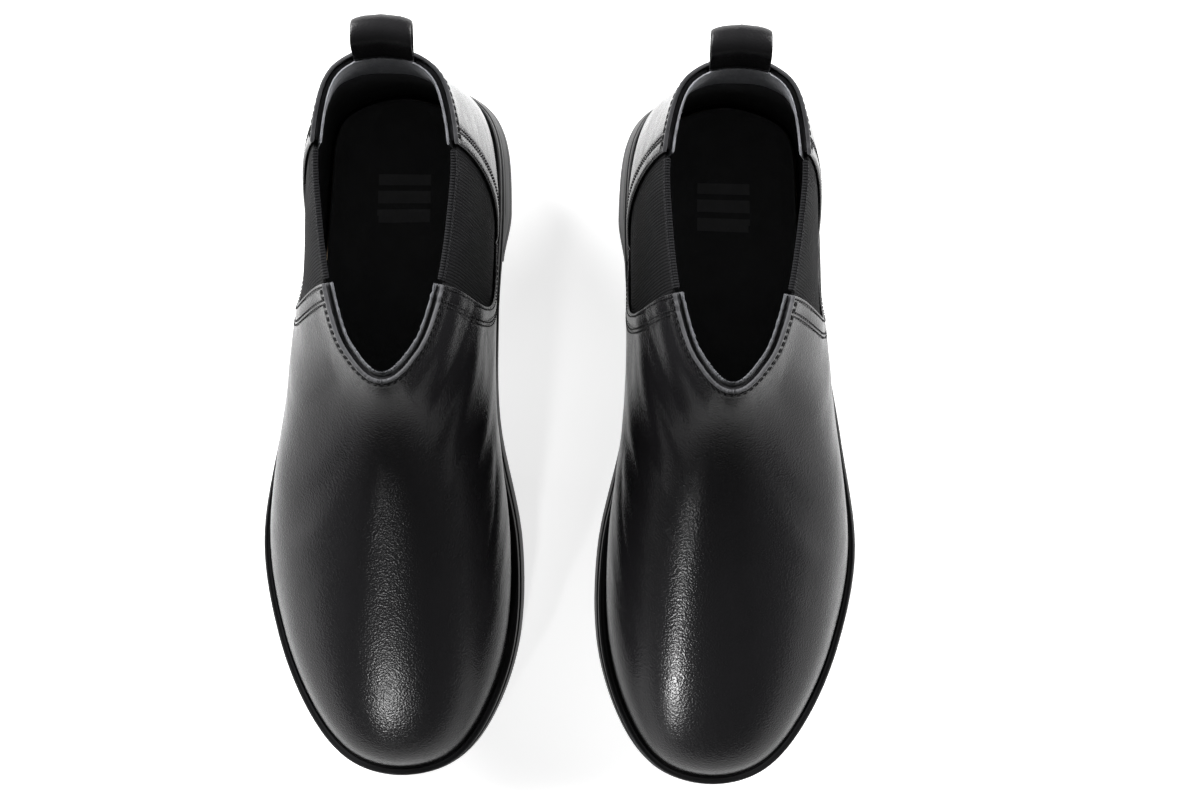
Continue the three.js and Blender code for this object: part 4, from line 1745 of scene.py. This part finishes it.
    def _footbed(self, board_top: Callable[[Array], Array]) -> bpy.types.Object:
        """The cupped footbed with a plain mark of three bars at its heel.

        Args:
            board_top: Height of the board that it lies on.

        Returns:
            The piece.
        """
        form = self.form
        share = np.linspace(0, 1, 240)
        u = 0.5 * (share - np.sin(2 * np.pi * share) / (2.6 * np.pi))
        edge, fall = np.array([0.88, 0.94, 0.975, 0.995, 1]), np.array([0, 0.1, 0.45, 1.2, 2.6])
        across = np.concatenate([-edge[::-1], np.linspace(-0.8, 0.8, 67), edge])
        drop = np.concatenate([fall[::-1], np.zeros(67), fall])
        along = form.along_at(u)
        inset = form.upper_inset(along) + self.wall + 1.6 + 2.5 * smoothstep(along, 0.8, 1)
        outer, inner = form.sole_edge(u, inset), form.sole_edge(1 - u, inset)
        centre, arm = (outer + inner) / 2, (outer - inner) / 2
        floor = (board_top(along) + board_top(form.along_at(1 - u))) / 2 + self.gap
        cup = self.heel_cup * (1 - smoothstep(along, 0.25, 0.62))
        lift = np.interp(np.abs(across), [0, 0.5, 0.82, 1], [0, 0, 0.3, 1])
        top = centre[:, None] + arm[:, None] * across[None, :, None]
        crown = self.footbed - 0.4 + 0.4 * np.cos(across * 1.4)[None, :]
        top[..., 2] = floor[:, None] + crown + cup[:, None] * lift[None, :] - drop[None, :]
        mark = self._mark_depth(top[..., 0], top[..., 1])
        top[..., 2] -= mark
        under = centre[:, None] + arm[:, None] * across[None, ::-1, None]
        under[..., 2] = floor[:, None]
        points = np.concatenate([top, under, top[:, :1]], 1)
        bm = weld(laid_grid(points), 5e-3)
        centres = np.array([face.calc_center_median() for face in bm.faces])
        pressed = (self._mark_depth(centres[:, 0], centres[:, 1]) > 0.2) & (centres[:, 2] > form.seat(0.2) - 1)
        for face, inside in zip(bm.faces, pressed):
            face.material_index = int(inside)
        piece = self.stance.finish(bm, "footbed_piece", [self.finishes.footbed, self.finishes.mark])
        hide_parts(self.stance.node("footbed"))
        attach(piece, "boots")
        return piece

    def _mark_depth(self, x: Array, y: Array) -> Array:
        """Depth of the plain pressed mark on the footbed: three bars across the heel.

        Args:
            x: Across the boot.
            y: Along it.

        Returns:
            The depth at each point, in millimetres.
        """
        half_width, half_length, middle, pitch, pressed = 2.2, 11.0, -55.0, 7.0, 0.5
        depth = np.zeros(x.shape)
        for bar in (-1, 0, 1):
            over = smoothstep(half_width - np.abs(y - middle - bar * pitch), -0.6, 0.6)
            inside = over * smoothstep(half_length - np.abs(x), -0.8, 0.8)
            depth = np.maximum(depth, pressed * inside)
        return depth


# ---- Studio -------------------------------------------------------------------------------------


@dataclass
class Studio:
    """The pale floor, the soft lights and the camera."""

    camera_place: tuple = (0.0162, 0.0102, 1.134)
    lens: float = 77.5
    floor_half: float = 12.0
    floor_drop: float = 0.0004
    glow_up: float = 0.76
    glow_aside: float = 0.1
    room_light: float = 0.14
    spot_angle: float = math.radians(12)

    def build(self) -> None:
        """Set up everything round the pair."""
        self._floor()
        self._softbox("left_softbox", (-1.55, 0.95, 0.74), (-0.05, 0.0, 0.05), (1.7, 1.0), 150)
        self._softbox("right_softbox", (1.55, 0.8, 0.74), (0.05, 0.0, 0.05), (1.7, 1.0), 100)
        self._toe_spot("left_toe_spot", (-0.33, -0.62, 0.34), (0.05, -0.126, 0.05), 27)
        self._toe_spot("right_toe_spot", (-0.18, -0.62, 0.34), (-0.08, -0.12, 0.05), 13)
        self._surround()
        self._camera()

    def _floor(self) -> None:
        """A plain white floor that glows mostly straight up, as a light table does."""
        bm = bmesh.new()
        down = Matrix.Translation((0, 0, -self.floor_drop))
        bmesh.ops.create_grid(bm, x_segments=1, y_segments=1, size=self.floor_half, matrix=down)
        mesh = bpy.data.meshes.new("floor")
        bm.to_mesh(mesh)
        bm.free()
        white = GroundFinish("white_floor", (0.7, 0.7, 0.7), (0.72, 0.72, 0.72), 3.0, 0.9).make()
        tree = white.node_tree
        shader = tree.nodes["Principled BSDF"]
        shader.inputs["Emission Color"].default_value = (1, 1, 1, 1)
        facing = tree.nodes.new("ShaderNodeLayerWeight")
        facing.inputs["Blend"].default_value = 0.5
        glow = tree.nodes.new("ShaderNodeMapRange")
        for socket, value in {"From Max": 0.6, "To Min": self.glow_up, "To Max": self.glow_aside}.items():
            glow.inputs[socket].default_value = value
        tree.links.new(facing.outputs["Facing"], glow.inputs["Value"])
        tree.links.new(glow.outputs["Result"], shader.inputs["Emission Strength"])
        mesh.materials.append(white)
        floor = bpy.data.objects.new("floor", mesh)
        bpy.context.scene.collection.objects.link(floor)

    def _toe_spot(self, name: str, place: tuple, aim: tuple, power: float) -> None:
        """A small lamp that glints on one toe.

        Args:
            name: Its name.
            place: Where it hangs.
            aim: What it points at.
            power: Its power, in watts.
        """
        light = bpy.data.lights.new(name, "SPOT")
        light.energy, light.shadow_soft_size = power, 0.05
        light.spot_size, light.spot_blend = self.spot_angle, 0.85
        self._hang(light, place, aim)

    def _softbox(self, name: str, place: tuple, aim: tuple, size: tuple, power: float) -> None:
        """One rectangular softbox.

        Args:
            name: Its name.
            place: Where it hangs.
            aim: What it points at.
            size: Its width and height.
            power: Its power, in watts.
        """
        light = bpy.data.lights.new(name, "AREA")
        light.shape = "RECTANGLE"
        light.size, light.size_y = size
        light.energy = power
        self._hang(light, place, aim)

    def _hang(self, light: bpy.types.Light, place: tuple, aim: tuple) -> None:
        """Hang a light and turn it to what it lights.

        Args:
            light: The light.
            place: Where it hangs.
            aim: What it points at.
        """
        lamp = bpy.data.objects.new(light.name, light)
        lamp.location = place
        lamp.rotation_euler = (Vector(aim) - Vector(place)).to_track_quat("-Z", "Y").to_euler()
        bpy.context.scene.collection.objects.link(lamp)

    def _surround(self) -> None:
        """The even light of a pale room."""
        world = bpy.data.worlds.new("studio")
        world.use_nodes = True
        sky = world.node_tree.nodes["Background"]
        sky.inputs["Color"].default_value = (1, 1, 1, 1)
        sky.inputs["Strength"].default_value = self.room_light
        bpy.context.scene.world = world
        bpy.context.scene.view_settings.view_transform = "Standard"

    def _camera(self) -> None:
        """The camera, straight above the pair."""
        data = bpy.data.cameras.new("camera")
        data.lens = self.lens
        data.sensor_width = 36.0
        camera = bpy.data.objects.new("camera", data)
        camera.location = self.camera_place
        camera.rotation_euler = (0, 0, 0)
        bpy.context.scene.collection.objects.link(camera)
        bpy.context.scene.camera = camera


# ---- The pair -----------------------------------------------------------------------------------


TURNS = {Side.LEFT: math.radians(-1.07), Side.RIGHT: math.radians(-0.68)}


def main() -> None:
    """Load the frame, build both boots round it and set the studio."""
    logging.basicConfig(level=logging.INFO, format="%(name)s: %(message)s")
    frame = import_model()
    finishes = Finishes()
    form, book = BootForm(), PatternBook()
    for side in Side:
        stance = Stance(side, TURNS[side])
        stance.settle(form)
        upper, tab = Upper(form, stance, finishes, book), PullTab(form, stance, finishes)
        for assembly in (upper, tab, Sole(form, stance, finishes, book)):
            for piece in assembly.build():
                log.info("%s: %d faces", piece.name, len(piece.data.polygons))
    book.close()
    for name, material in (("shank", finishes.steel), ("cork_filler", finishes.cork)):
        for side in Side:
            node = frame["nodes"][f"{side.value}_{name}"]
            for slot in node.material_slots:
                slot.material = material
    Studio().build()


if __name__ == "__main__":
    main()
